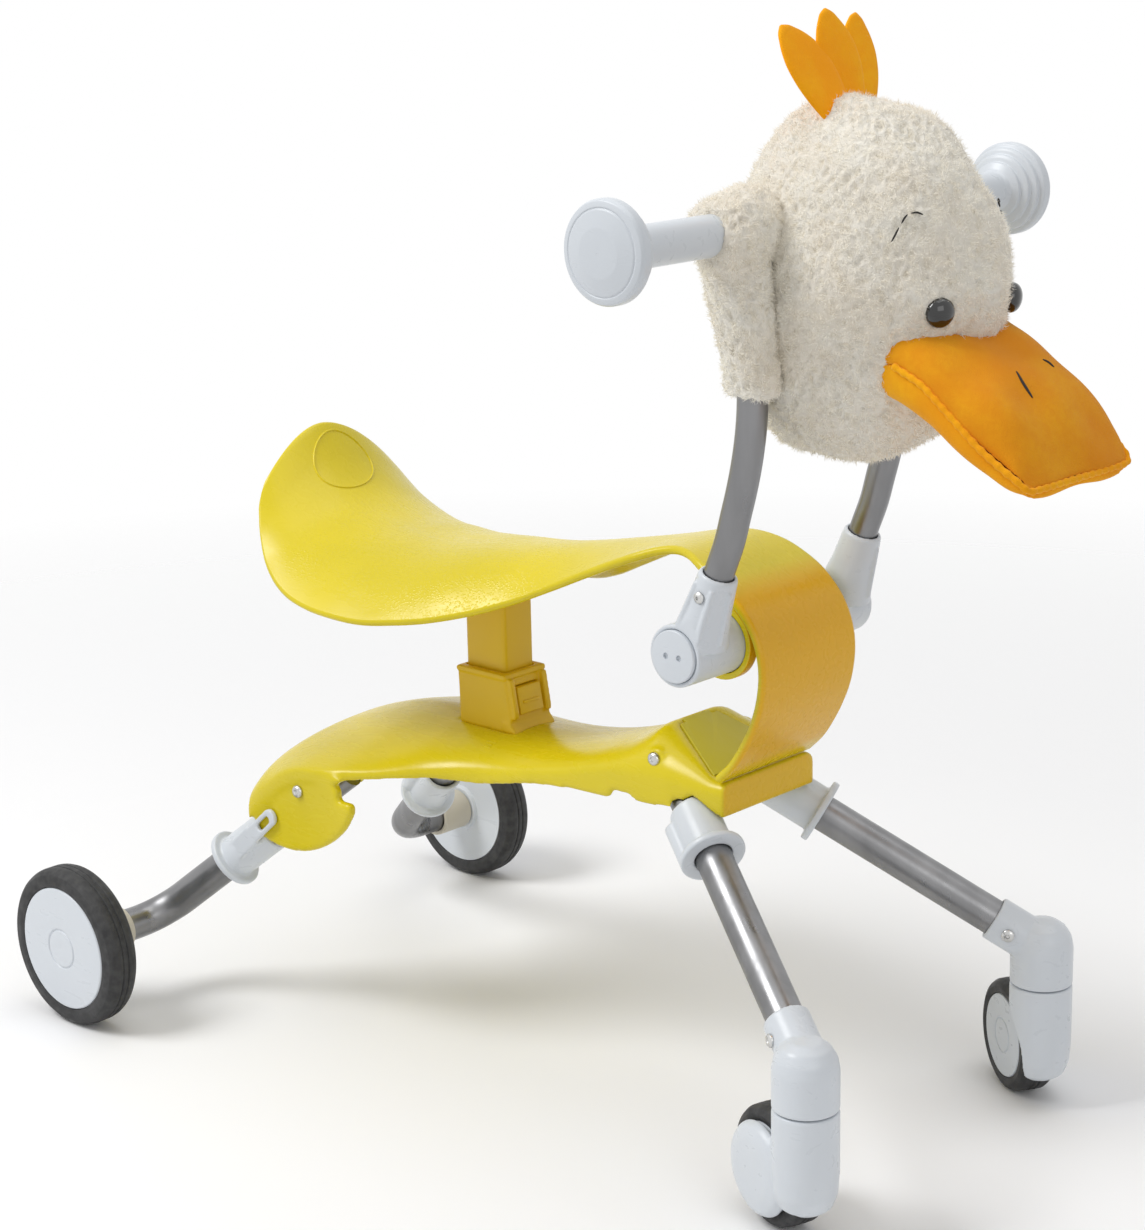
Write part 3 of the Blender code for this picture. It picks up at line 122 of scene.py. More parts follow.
def soften(outline, reach, closed=True, steps=4):
    """The outline, each corner made a parabola that begins and ends reach from it, or near half an edge."""
    p = np.asarray(outline, float)

    def along_edge(other):
        way = other - p
        length = np.maximum(np.linalg.norm(way, axis=1, keepdims=True), 1e-9)
        return p + way * np.minimum(0.47, reach / length)

    start, end = along_edge(np.roll(p, 1, 0)), along_edge(np.roll(p, -1, 0))
    s = np.linspace(0, 1, steps + 1)[None, :, None]
    arcs = (1 - s) ** 2 * start[:, None] + 2 * s * (1 - s) * p[:, None] + s**2 * end[:, None]
    if closed:
        return arcs.reshape(-1, 2)
    return np.concatenate([p[:1], arcs[1:-1].reshape(-1, 2), p[-1:]])


def arc(centre, radius, start, end, count):
    """Points of an arc: centre + radius * (cos a, sin a), its angles in degrees from ahead towards up."""
    angle = np.radians(np.linspace(start, end, count + 1))
    return np.stack([centre[0] + radius * np.cos(angle), centre[1] + radius * np.sin(angle)], -1)


def grid_faces(rows, columns, wrap_rows=False, wrap_columns=False):
    """The four-sided faces of a grid of points numbered row by row."""
    row, column = np.meshgrid(np.arange(rows if wrap_rows else rows - 1),
                              np.arange(columns if wrap_columns else columns - 1), indexing="ij")
    below, beside = (row + 1) % rows, (column + 1) % columns
    corners = [row * columns + column, row * columns + beside,
               below * columns + beside, below * columns + column]
    return np.stack(corners, -1).reshape(-1, 4).tolist()


def capped(points):
    """The skin through rows of rings, closed by a flat face at its first and its last ring."""
    rows, columns = points.shape[:2]
    ends = [list(range(columns)), list(range((rows - 1) * columns, rows * columns))]
    return points.reshape(-1, 3), grid_faces(rows, columns, False, True) + ends


def revolve(profile, centre, axis, steps, ring=False):
    """A profile of (radius, height) pairs turned about axis: point = centre + height * axis + radius *
    (cos a * first + sin a * second). A ring's profile is closed."""
    radii, heights = np.asarray(profile, float).T[:, :, None, None]
    first, second, along = square_to(axis)
    angle = np.linspace(0, 2 * np.pi, steps, endpoint=False)[:, None]
    spokes = np.cos(angle) * first + np.sin(angle) * second
    points = centre + (heights * along + radii * spokes) * MM
    return points.reshape(-1, 3), grid_faces(len(radii), steps, ring, True)


def rod(radius, low, high, centre, axis, steps=48, edge=0.5):
    """A round bar with softened ends."""
    profile = soften([(0, low), (radius, low), (radius, high), (0, high)], edge, False)
    return revolve(profile, centre, axis, steps)


def sweep(line, radius, side, steps=32, closed=False):
    """A round section along the line: radius * (cos a * sideways + sin a * normal), square to the line."""
    line = np.asarray(line, float)
    if closed:
        tangent = unit(np.roll(line, -1, 0) - np.roll(line, 1, 0))
    else:
        tangent = unit(np.gradient(line, run_along(line), axis=0))
    side = np.broadcast_to(np.asarray(side, float), line.shape)
    sideways = unit(side - tangent * np.sum(side * tangent, axis=1, keepdims=True))
    normal = np.cross(tangent, sideways)
    angle = np.linspace(0, 2 * np.pi, steps, endpoint=False)[None, :, None]
    size = np.broadcast_to(np.asarray(radius, float), len(line))[:, None, None] * MM
    points = line[:, None] + size * (np.cos(angle) * sideways[:, None] + np.sin(angle) * normal[:, None])
    if not closed:
        ends = [np.repeat(end[:, None], steps, 1) for end in (line[:1], line[-1:])]
        points = np.concatenate([ends[0], points, ends[1]])
    return points.reshape(-1, 3), grid_faces(len(points), steps, closed, True)


def slab(outline, low, high, to_point, edge=0.7):
    """An outline of (a, b) pairs pushed from low to high. Rings round its rims: each is drawn in by edge *
    (1 - sin a) at edge * (1 - cos a) from the end."""
    outline = np.asarray(outline, float)
    tangent = np.roll(outline, -1, 0) - np.roll(outline, 1, 0)
    normal = unit(np.stack([tangent[:, 1], -tangent[:, 0]], -1))
    turn = np.sum(outline[:, 0] * np.roll(outline[:, 1], -1) - np.roll(outline[:, 0], -1) * outline[:, 1])
    normal *= np.sign(turn)
    angle = np.radians([0, 30, 60, 90])
    drawn, risen = edge * (1 - np.sin(angle)), edge * (1 - np.cos(angle))
    inset = np.concatenate([drawn, drawn[::-1]])
    height = np.concatenate([low + risen, high - risen[::-1]])
    rings = outline[None] - normal[None] * inset[:, None, None]
    return capped(to_point(rings[..., 0], rings[..., 1], np.broadcast_to(height[:, None], rings.shape[:2])))


def upright_plate(outline, inner, outer, edge=0.7):
    """A plate whose outline is (ahead, up) pairs, between two distances across."""
    return slab(outline, min(inner, outer), max(inner, outer),
                lambda ahead, up, across: at(across, ahead, up), edge)


def level_plate(outline, bottom, top, edge=0.7):
    """A plate whose outline is (across, ahead) pairs, between two heights."""
    return slab(outline, bottom, top, at, edge)


def rectangle(left, right, near, far):
    """The four corners of a rectangle, in turn."""
    return [(left, near), (right, near), (right, far), (left, far)]


def block(half, near, far, bottom, top, edge=0.1):
    """A level block across the middle, half its width to each side."""
    return level_plate(rectangle(-half, half, near, far), bottom, top, edge)


def box(centre, axis, turn, spans, edge=0.6):
    """A block of (low, high) spans along turn, across it and along axis, its edges rounded."""
    first, second, along = square_to(axis, turn)

    def spot(x, y, z):
        return centre + (x[..., None] * first + y[..., None] * second + z[..., None] * along) * MM

    return slab(soften(rectangle(*spans[0], *spans[1]), 1.6 * edge), *spans[2], spot, edge)


WAVE_COUNT = 28
WAVES = np.random.default_rng(7)
WAVE_WAYS = unit(WAVES.normal(size=(3, WAVE_COUNT, 3)))
WAVE_STARTS = WAVES.uniform(0, 2 * np.pi, (3, WAVE_COUNT))


def ripple(points, length, kind=0):
    """A smooth random field: the sum of sine waves of about this length in mm, in fixed random directions."""
    phase = points @ (WAVE_WAYS[kind].T * (2 * np.pi / (length * MM))) + WAVE_STARTS[kind]
    return np.sin(phase).sum(-1) / math.sqrt(WAVE_COUNT / 2)


# Meshes


def solid(name, *shapes, sharp=SHARP_ANGLE):
    """One mesh of (points, faces) surfaces. Doubled points are merged and faces turned outwards."""
    points = np.concatenate([shape[0] for shape in shapes])
    starts = np.cumsum([0] + [len(shape[0]) for shape in shapes])
    faces = [[index + int(start) for index in face]
             for start, shape in zip(starts, shapes) for face in shape[1]]
    mesh = bpy.data.meshes.new(name)
    mesh.from_pydata(points.tolist(), [], faces)
    tidy = bmesh.new()
    tidy.from_mesh(mesh)
    bmesh.ops.remove_doubles(tidy, verts=tidy.verts, dist=2e-6)
    bmesh.ops.dissolve_degenerate(tidy, edges=tidy.edges, dist=1e-6)
    bmesh.ops.recalc_face_normals(tidy, faces=tidy.faces)
    tidy.to_mesh(mesh)
    tidy.free()
    piece = bpy.data.objects.new(name, mesh)
    bpy.context.scene.collection.objects.link(piece)
    shade(piece, sharp)
    return piece


def shade(piece, sharp):
    """Smooth shading, with a crease where two faces meet at more than the sharp angle."""
    piece.data.shade_smooth()
    piece.data.set_sharp_from_angle(angle=math.radians(sharp))


def settle(piece, sharp=SHARP_ANGLE):
    """Applies the piece's modifiers."""
    bpy.context.view_layer.update()
    shaped = piece.evaluated_get(bpy.context.evaluated_depsgraph_get())
    mesh = bpy.data.meshes.new_from_object(shaped)
    piece.modifiers.clear()
    piece.data = mesh
    shade(piece, sharp)
    return piece


def combine(piece, tools, operation):
    """Joins solids to the piece or takes them out of it, one after another."""
    for number, tool in enumerate(tools):
        other = solid(f"{piece.name}_tool", tool) if isinstance(tool, tuple) else tool
        step = piece.modifiers.new(f"step_{number}", "BOOLEAN")
        step.operation = operation
        step.solver = "EXACT"
        step.object = other
        settle(piece)
        bpy.data.objects.remove(other)
    return piece


def moulded(piece, cell, rounds=6, sharp=60):
    """Melts the piece's joined shapes into one skin with soft inner corners and rims, as a moulding has."""
    skin = piece.modifiers.new("skin", "REMESH")
    skin.mode = "VOXEL"
    skin.voxel_size = cell * MM
    skin.use_smooth_shade = True
    relax = piece.modifiers.new("relax", "SMOOTH")
    relax.factor = 0.5
    relax.iterations = rounds
    return settle(piece, sharp)


def dress(piece, finish, body, slot, *nodes):
    """Gives a finished piece its material, the body that it rides on and the nodes that it stands for."""
    piece.data.materials.clear()
    piece.data.materials.append(finish.material)
    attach(piece, body)
    if nodes:
        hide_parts(*nodes)
    return piece


def listed(items, field, width=3):
    """One field of each of a mesh's points or faces, a row for each."""
    values = np.empty(len(items) * width)
    items.foreach_get(field, values)
    return values.reshape(-1, width)


def spots_of(piece):
    """A piece's points and normals, and the points as across, ahead and up in mm."""
    points, normals = listed(piece.data.vertices, "co"), listed(piece.data.vertices, "normal")
    return points, normals, points[:, 0] / MM, REAR_AXLE - points[:, 1] / MM, points[:, 2] / MM


def push(piece, points, normals, distance):
    """Moves each point along its normal: point + normal * distance."""
    piece.data.vertices.foreach_set("co", (points + normals * (distance[:, None] * MM)).reshape(-1))
    piece.data.update()


def mark_points(piece, name, values):
    """Stores one number per point for the piece's material."""
    attribute = piece.data.attributes.new(name, "FLOAT", "POINT")
    attribute.data.foreach_set("value", np.clip(values, 0, 1).astype(np.float32))


def ramp(values, start, width):
    """A share that grows from 0 at start to 1 at start + width."""
    return np.clip((values - start) / width, 0, 1)


# Materials


class Finish:
    """A material under construction. An input takes a number, a colour or the output of another node."""

    def __init__(self, name, colour, roughness, metallic=0.0):
        self.material = bpy.data.materials.new(name)
        self.material.use_nodes = True
        self.tree = self.material.node_tree
        self.shader = self.tree.nodes["Principled BSDF"]
        self.set("Base Color", (*colour, 1.0))
        self.set("Roughness", roughness)
        self.set("Metallic", metallic)
        self.where = self.tree.nodes.new("ShaderNodeTexCoord").outputs["Object"]

    def feed(self, socket, value):
        """Links an input to another node's output, or sets it."""
        if isinstance(value, bpy.types.NodeSocket):
            self.tree.links.new(value, socket)
        else:
            socket.default_value = value

    def set(self, name, value):
        """Feeds an input of the surface itself."""
        self.feed(self.shader.inputs[name], value)

    def add(self, kind, **inputs):
        """A new node with its inputs fed by name."""
        node = self.tree.nodes.new(kind)
        for name, value in inputs.items():
            self.feed(node.inputs[name.replace("_", " ")], value)
        return node

    def noise(self, scale, detail=2.0, distortion=0.0, stretch=None):
        """Cloudy noise in the piece's own frame, drawn out where stretch is small."""
        spot = self.where
        if stretch:
            spot = self.add("ShaderNodeMapping", Vector=spot, Scale=stretch).outputs["Vector"]
        node = self.add("ShaderNodeTexNoise", Vector=spot, Scale=scale, Detail=detail, Distortion=distortion)
        return node.outputs["Fac"]

    def spread(self, value, low, high, from_low=0.35, from_high=0.65):
        """low + (high - low) * (value - from_low) / (from_high - from_low), kept between low and high."""
        node = self.add("ShaderNodeMapRange", Value=value, From_Min=from_low, From_Max=from_high,
                        To_Min=low, To_Max=high)
        return node.outputs["Result"]

    def cloud(self, *noise):
        """Noise spread over the whole range from 0 to 1."""
        return self.spread(self.noise(*noise), 0.0, 1.0)

    def between(self, value, first, second):
        """The colour first * (1 - value) + second * value."""
        node = self.tree.nodes.new("ShaderNodeMix")
        node.data_type = "RGBA"
        colours = [socket for socket in node.inputs if socket.type == "RGBA"]
        for socket, colour in zip(colours, (first, second)):
            self.feed(socket, (*colour, 1.0) if isinstance(colour, tuple) else colour)
        self.feed(node.inputs[0], value)
        return [socket for socket in node.outputs if socket.type == "RGBA"][0]

    def times(self, first, second):
        """first * second."""
        node = self.tree.nodes.new("ShaderNodeMath")
        node.operation = "MULTIPLY"
        self.feed(node.inputs[0], first)
        self.feed(node.inputs[1], second)
        return node.outputs[0]

    def marked(self, name):
        """The number per point that mark_points stored under this name."""
        node = self.tree.nodes.new("ShaderNodeAttribute")
        node.attribute_name = name
        return node.outputs["Fac"]

    def bump(self, height, strength, distance, below=None):
        """A relief, laid over another one where there is one below."""
        node = self.add("ShaderNodeBump", Height=height, Strength=strength, Distance=distance)
        if below is not None:
            self.feed(node.inputs["Normal"], below)
        return node.outputs["Normal"]

    def sheen(self, weight, roughness, tint, specular):
        """A soft glow at grazing angles over a dull surface."""
        self.set("Sheen Weight", weight)
        self.set("Sheen Roughness", roughness)
        self.set("Sheen Tint", (*tint, 1.0))
        self.set("Specular IOR Level", specular)

    def blend(self, share, other):
        """Puts surface * (1 - share) + other * share on the piece."""
        node = self.tree.nodes.new("ShaderNodeMixShader")
        for socket, value in zip(node.inputs, (share, self.shader.outputs[0], other.outputs[0])):
            self.feed(socket, value)
        self.feed(self.tree.nodes["Material Output"].inputs["Surface"], node.outputs[0])


def shiny_plastic(name, colour, shaded, roughness=0.3, grain=0.015, warm=None):
    """Moulded plastic: a slow drift between two tints, faint scuffs in the gloss and a fine skin grain. The
    warm tint is painted shade: it goes where the piece's own tint mark is near 1, on the faces turned to the
    front."""
    made = Finish(name, colour, roughness)
    tone = made.between(made.cloud(14, 3), colour, shaded)
    # The warm colour mixed in by the tint mark is painted shade
    made.set("Base Color", made.between(made.marked("tint"), tone, warm) if warm else tone)
    scuffs = made.noise(160, 5, 0.6, (1.0, 0.25, 1.0))
    made.set("Roughness", made.spread(scuffs, roughness - 0.03, roughness + 0.04))
    skin = made.bump(made.noise(1500, 2), grain, 0.0001)
    made.set("Normal", made.bump(made.noise(30, 1), 0.015, 0.001, skin))
    made.set("Specular IOR Level", 0.4)
    return made


# Yellow, a darker yellow, roughness, grain, and last the warm painted shade for faces turned to the front
YELLOW = ((0.70, 0.565, 0.008), (0.64, 0.52, 0.006), 0.27, 0.015, (0.76, 0.415, 0.001))
yellow = shiny_plastic("yellow_moulding", *YELLOW)
saddle_yellow = shiny_plastic("yellow_saddle", *YELLOW)
pips = saddle_yellow.add("ShaderNodeTexVoronoi", Vector=saddle_yellow.where, Scale=620.0)
pip_height = saddle_yellow.times(saddle_yellow.spread(pips.outputs["Distance"], 1.0, 0.0, 0.15, 0.5),
                                 saddle_yellow.marked("sitting"))
saddle_grain = saddle_yellow.bump(saddle_yellow.noise(1800, 2), 0.05, 0.0002)
saddle_yellow.set("Normal", saddle_yellow.bump(pip_height, 0.35, 0.0004, saddle_grain))
amber = shiny_plastic("amber_post", (0.78, 0.52, 0.008), (0.74, 0.49, 0.007), 0.36, 0.05)
# The deck panel's darker olive colour is painted shade of the slope turned to the front
olive_painted_shade = shiny_plastic("olive_panel", (0.52, 0.45, 0.022), (0.49, 0.42, 0.020), 0.5, 0.4)
white = shiny_plastic("white_moulding", (0.64, 0.675, 0.715), (0.62, 0.655, 0.695), 0.3)
beige = shiny_plastic("beige_bush", (0.60, 0.56, 0.46), (0.55, 0.51, 0.42), 0.45)


def drawn_tube(name, colour, roughness, stretch):
    """Satin grey tube: streaks drawn out along the tube in both its gloss and its tone."""
    made = Finish(name, colour, roughness, 1.0)
    made.set("Roughness", made.spread(made.noise(90, 4, 0.0, stretch), roughness - 0.07, roughness + 0.09))
    tone = made.cloud(60, 3, 0.0, stretch)
    made.set("Base Color", made.between(tone, colour, tuple(0.82 * part for part in colour)))
    made.set("Normal", made.bump(made.noise(900, 2, 0.0, stretch), 0.05, 0.0001))
    return made


grey_tube = drawn_tube("satin_grey_tube", (0.265, 0.265, 0.27), 0.34, (1.0, 1.0, 0.12))
zinc = drawn_tube("zinc_steel", (0.66, 0.66, 0.65), 0.28, (1.0, 1.0, 1.0))
rubber = Finish("tyre_rubber", (0.018, 0.018, 0.019), 0.6)
rubber.set("Base Color", rubber.between(rubber.cloud(220, 5), (0.014, 0.014, 0.015), (0.034, 0.034, 0.034)))
rubber.set("Roughness", rubber.spread(rubber.noise(90, 3), 0.5, 0.72))
rubber.set("Normal", rubber.bump(rubber.noise(1500, 3), 0.25, 0.0003))
bead = Finish("black_eye", (0.006, 0.006, 0.006), 0.06)
bead.set("Coat Weight", 0.6)
bead.set("Roughness", bead.spread(bead.noise(400, 2), 0.04, 0.1))
thread = Finish("dark_thread", (0.02, 0.018, 0.016), 0.85)
thread.set("Normal", thread.bump(thread.noise(2600, 2), 0.5, 0.0002))


def fleece(name, light, warm):
    """Short curly pile: tangled fibres in the relief, warmer patches at random, and a soft sheen at grazing
    angles.
    """
    made = Finish(name, light, 0.92)
    made.set("Base Color", made.between(made.cloud(26, 4), light, warm))
    curls = made.bump(made.noise(320, 6, 1.8), 0.7, 0.0015)
    made.set("Normal", made.bump(made.noise(1500, 3, 0.8), 0.5, 0.0006, curls))
    made.sheen(0.25, 0.5, (1.0, 0.98, 0.95), 0.1)
    return made


pile = fleece("cream_fleece", (0.85, 0.82, 0.745), (0.80, 0.74, 0.64))
fibre = Finish("fleece_fibre", (0.90, 0.875, 0.81), 0.9)
fibre.set("Base Color", fibre.between(fibre.cloud(60, 3), (0.91, 0.89, 0.83), (0.87, 0.82, 0.73)))
fibre.set("Specular IOR Level", 0.15)
fibre.blend(0.5, fibre.add("ShaderNodeBsdfTranslucent", Color=(0.92, 0.895, 0.83, 1.0)))


def felt(name, light, deep):
    """Brushed felt: mottled between two tints with a matted fibre relief."""
    made = Finish(name, light, 0.88)
    mottle = made.spread(made.noise(240, 6, 0.9), 0.0, 1.0, 0.38, 0.62)
    drift = made.between(made.cloud(30, 3), light, deep)
    made.set("Base Color", made.between(made.times(mottle, 0.35), drift, deep))
    made.set("Normal", made.bump(made.noise(900, 4, 1.2), 0.5, 0.0006))
    made.sheen(0.3, 0.4, (1.0, 0.8, 0.4), 0.12)
    return made


orange_felt = felt("orange_felt", (0.78, 0.33, 0.010), (0.72, 0.25, 0.008))
edge_felt = felt("edge_felt", (0.92, 0.43, 0.010), (0.86, 0.34, 0.008))
tuft_felt = felt("tuft_felt", (0.99, 0.46, 0.008), (0.97, 0.36, 0.005))

# Base moulding: ahead, half width, underside, side edge, crown, squareness and half width of the flat top
BASE_STATIONS = np.array([
    (72, 90, 125, 130, 160, 2.4, 1), (80, 90, 131, 138.5, 170, 2.3, 1), (89, 90, 138, 147.5, 177, 2, 1),
    (101, 90, 148.5, 158.5, 182, 1.6, 1), (118, 90, 158, 166.5, 187.6, 1.3, 1),
    (137, 89.5, 162, 169.5, 192.6, 1.2, 1), (150, 87, 164.5, 170.8, 194.8, 1.2, 1),
    (166, 80.5, 167, 171.5, 196.4, 1.2, 1), (182, 71, 168.5, 172.5, 196.4, 1.3, 1),
    (198, 60.5, 169.5, 173.5, 195.6, 1.5, 1), (214, 53.5, 169.5, 175, 195, 1.7, 1),
    (232, 49, 170.5, 177, 195, 1.8, 1), (252, 46.5, 174, 180, 196, 1.8, 1),
    (272, 45.5, 178, 184.5, 197.5, 1.9, 1), (295, 44.8, 180.5, 189, 202, 2, 2),
    (318, 44.5, 181.5, 195, 208.5, 2, 5), (337, 44.6, 182.5, 199, 215.3, 1.9, 11),
    (347, 44.7, 183.3, 200, 221, 1.8, 15), (356, 44.4, 184, 201, 226, 1.75, 18),
    (372, 43.8, 185.4, 201, 218.3, 1.75, 25), (388, 42.2, 187, 199.5, 211, 1.8, 31),
    (399.5, 41, 188, 199, 205.6, 1.8, 35), (401, 40.8, 188, 199.5, 205, 1.8, 35),
    (410, 39.8, 185.5, 199.5, 205, 1.8, 34)], float)
WALL = 4.2
BASE_FRONT = 410
SLOPE_FOOT = 347
HOLLOW_REAR = np.array([(60, 90, 0, 118, 148, 2.4, 1)], float)
HOLLOW_FRONT = np.array([(BASE_FRONT - WALL, 40, 0, 199.5, 204.8, 1.6, 34)], float)
HOLLOW_STATIONS = np.concatenate([HOLLOW_REAR, BASE_STATIONS[:-1], HOLLOW_FRONT])
BASE_ROWS = 140
NOTCH_HALF, NOTCH_END, NOTCH_DEPTH = 38.9, 74, 18


def refined(stations, count):
    """More stations between the given ones: smooth up to the foot of the front slope, straight from there."""
    knots = stations[:, 0]
    spots = np.linspace(knots[0], knots[-1], count)
    straight = np.stack([np.interp(spots, knots, column) for column in stations.T], -1)
    return np.where((spots < SLOPE_FOOT)[:, None], through(knots, stations, spots), straight)


def base_skin(stations, inset, underside=None):
    """Rings across the base: from the foot over across = flat + reach * cos(a)^(2 / power) and
    up = low + rise * sin(a)^(2 / power) to the crown, and down the same way on the other side."""
    ahead, half_width, bottom, edge, crown, power, flat = refined(stations, BASE_ROWS).T[:, :, None]
    angle = np.linspace(0, np.pi / 2, 15)
    low = edge - inset
    across = flat + (half_width - inset - flat) * np.cos(angle) ** (2 / power)
    up = low + (crown - inset - low) * np.sin(angle) ** (2 / power)
    foot = bottom if underside is None else np.full_like(bottom, underside)
    across = np.concatenate([half_width - inset, across], 1)
    up = np.concatenate([foot, up], 1)
    both_sides = np.concatenate([-across, across[:, ::-1]], 1)
    return capped(at(both_sides, ahead, np.concatenate([up, up[:, ::-1]], 1)))


def notch(growth):
    """The U between the two arms, seen from above: half an ellipse on two straight sides."""
    angle = np.radians(np.linspace(0, 180, 37))
    half = NOTCH_HALF + growth
    curve = np.stack([half * np.cos(angle), NOTCH_END + (NOTCH_DEPTH + growth) * np.sin(angle)], -1)
    return level_plate(np.concatenate([[(half, 40)], curve, [(-half, 40)]]), 50, 250, 0.05)


REAR_PIVOT = (56.0, 120.0, 153.0)
FRONT_PIVOT = (22.0, 362.0, 210.5)
FRONT_START = (22.0, 360.8, 197.9)
LEG_BEHIND, LEG_BELOW = 1.2, 12.6
PLATE_INNER, PLATE_OUTER = 83.0, 89.2
BRACKET_INNER, BRACKET_OUTER = 39.4, 42.6
PLATE_OUTLINE = np.concatenate([
    [(75.5, 128.6)], arc((104.6, 183.6), 71, 250, 320, 16), [(164.5, 147), (165, 151), (163, 153.6)],
    arc((147.6, 157.1), 6, 315, 450, 10),
    [(153, 164), (156, 166.6), (150, 168.5), (137, 167), (118, 164.5), (101, 155), (89, 144), (80, 134.8)]])
BRACKET_OUTLINE = np.concatenate([arc(REAR_PIVOT[1:], 7, 180, 360, 16), [(127, 181.2), (113, 178.4)]])

# A front leg's direction as shares across, ahead and down, its slope seen from the side, and how far it folds
FRONT_OUT, FRONT_AHEAD = 0.406, 0.767
FRONT_DOWN = math.sqrt(1 - FRONT_OUT**2 - FRONT_AHEAD**2)
SLANT = math.sqrt(1 - FRONT_OUT**2)
LEG_ANGLE = math.atan2(FRONT_DOWN, FRONT_AHEAD)
FRONT_FOLD = 71
FOLD_STEPS = 11
ROOM = 0.9
fold_line = at(0, *FRONT_PIVOT[1:])


def swing_room(sign, radius, near, far):
    """The space that a front leg or its collar sweeps as it folds: a round bar of the leg's own lean at steps
    of its turn, with some room round it."""
    bars = []
    for turn in np.radians(np.linspace(0, FRONT_FOLD, FOLD_STEPS)):
        lowered = LEG_ANGLE + turn
        along = toward(sign * FRONT_OUT, SLANT * math.cos(lowered), -SLANT * math.sin(lowered))
        start = at(sign * FRONT_START[0],
                   FRONT_PIVOT[1] - LEG_BEHIND * math.cos(turn) - LEG_BELOW * math.sin(turn),
                   FRONT_PIVOT[2] + LEG_BEHIND * math.sin(turn) - LEG_BELOW * math.cos(turn))
        bars.append(rod(radius + ROOM, near, far, start, along, 48, 0.1))
    return bars


slope_start, slope_end = at(0, 356, 226), at(0, 399.5, 205.6)
slope_along = unit(slope_end - slope_start)
slope_up = np.cross(slope_along, ACROSS)
slope_up = slope_up * np.sign(slope_up[2])
slope_length = np.linalg.norm(slope_end - slope_start) / MM


def panel_plate(growth, low, high, edge):
    """The deck panel's outline on the slope, with the narrower tab at its rear, 3 long and 5 in from each
    side."""
    rear, front, start, end = 16 + growth, 33 + growth, 1.2 - growth, slope_length - 1.5 + growth
    outline = [(-rear, start + 3), (-rear + 5, start + 3), (-rear + 5, start), (rear - 5, start),
               (rear - 5, start + 3), (rear, start + 3), (front, end), (-front, end)]

    def on_slope(across, along, height):
        return slope_start + (across[..., None] * ACROSS + along[..., None] * slope_along
                              + height[..., None] * slope_up) * MM

    return slab(soften(outline, 0.8), low, high, on_slope, edge)


base = solid("base_moulding", base_skin(BASE_STATIONS, 0.0))
hollow = solid("base_hollow", base_skin(HOLLOW_STATIONS, WALL, 90.0))
combine(hollow, [notch(WALL)], "DIFFERENCE")
combine(base, [hollow, notch(0.0)], "DIFFERENCE")
added = [box(at(0, FRONT_PIVOT[1], 0), UP, ACROSS, ((-9, 9), (-12, 12), (199, 220.5)), 0.5),
         block(21, 181, 237, 186, 193, 0.3)]
for _, sign in SIDES:
    added += [upright_plate(PLATE_OUTLINE, sign * PLATE_INNER, sign * PLATE_OUTER, 0.9),
              upright_plate(BRACKET_OUTLINE, sign * BRACKET_INNER, sign * BRACKET_OUTER, 0.5),
              rod(5.8, 33, 40.2, fold_line, ACROSS * sign, 40)]
combine(base, added, "UNION")
for _, sign in SIDES:
    rooms = [*swing_room(sign, LEG_RADIUS, 12, 42), *swing_room(sign, COLLAR_RADIUS, 29.4, 85)]
    combine(base, rooms, "DIFFERENCE")
combine(base, [panel_plate(0.3, -2.4, 15, 0.1), block(17.3, 186.7, 232.2, 192, 230)], "DIFFERENCE")
moulded(base, 1.4, 8)
dress(base, yellow, "chassis", "yellow_plastic", "base")
panel = solid("deck_panel_olive", panel_plate(0.0, -2.1, 0.2, 0.5))
dress(panel, olive_painted_shade, "chassis", "olive_panel", "deck_panel")

# Socket, post and latch button
SOCKET = soften([(186, 228), (187, 192.3), (230, 192.3), (224, 228)], 1.2)
SOCKET_LIP = soften([(185.6, 224.6), (225.8, 224.6), (225.2, 227.6), (185.6, 227.6)], 0.8)
SOCKET_FOOT = soften([(222, 192.5), (233.2, 192.5), (231.6, 195.2), (227, 199.5), (222, 199.5)], 0.9)
SOCKET_RIB = soften([(221, 225), (225, 201), (231.5, 201), (231.5, 205), (228, 225)], 1.2)
BUTTON = soften([(223.3, 203), (231, 203), (228, 219), (223.3, 219)], 0.8)
socket = solid("post_socket_amber", upright_plate(SOCKET, -17, 17, 0.7))
combine(socket, [upright_plate(SOCKET_LIP, -17.6, 17.6, 0.3), upright_plate(SOCKET_FOOT, -17.4, 17.4, 0.4),
                 upright_plate(SOCKET_RIB, 11.6, 15.6, 0.5), upright_plate(SOCKET_RIB, -15.6, -11.6, 0.5)],
        "UNION")
combine(socket, [block(12.8, 188.7, 221.3, 190, 240), block(9.9, 217, 236, 202.7, 219.3)], "DIFFERENCE")
moulded(socket, 0.7, 3)
dress(socket, amber, "chassis", "amber_plastic", "post_socket")
bpy.context.view_layer.update()
bars = []
for shift, half in ((-2.4, 3.6), (0, 2.4), (2.4, 3.6)):
    _, spot, facing, _ = base.ray_cast(Vector(at(-32.4 + shift, 226.0, 240)), DOWN)
    spans = ((-0.55, 0.55), (-half, half), (-0.5, 0.4))
    bars.append(box(np.array(spot), np.array(facing), ACROSS, spans, 0.25))
dress(solid("base_mark", *bars), yellow, "chassis", "yellow_plastic")
post = solid("seat_post_amber", level_plate(soften(rectangle(-12.5, 12.5, 189, 221), 3.0), 194.3, 299.6, 0.4))
dress(post, amber, "chassis", "amber_plastic", "seat_post")
button = solid("latch_button_amber", upright_plate(BUTTON, -9.6, 9.6, 0.5),
               box(at(0, 229.7, 210), UP, ACROSS, ((-6.5, 6.5), (-0.9, 0.6), (-0.9, 0.9)), 0.4))
dress(button, amber, "latch", "amber_plastic", "latch_button")

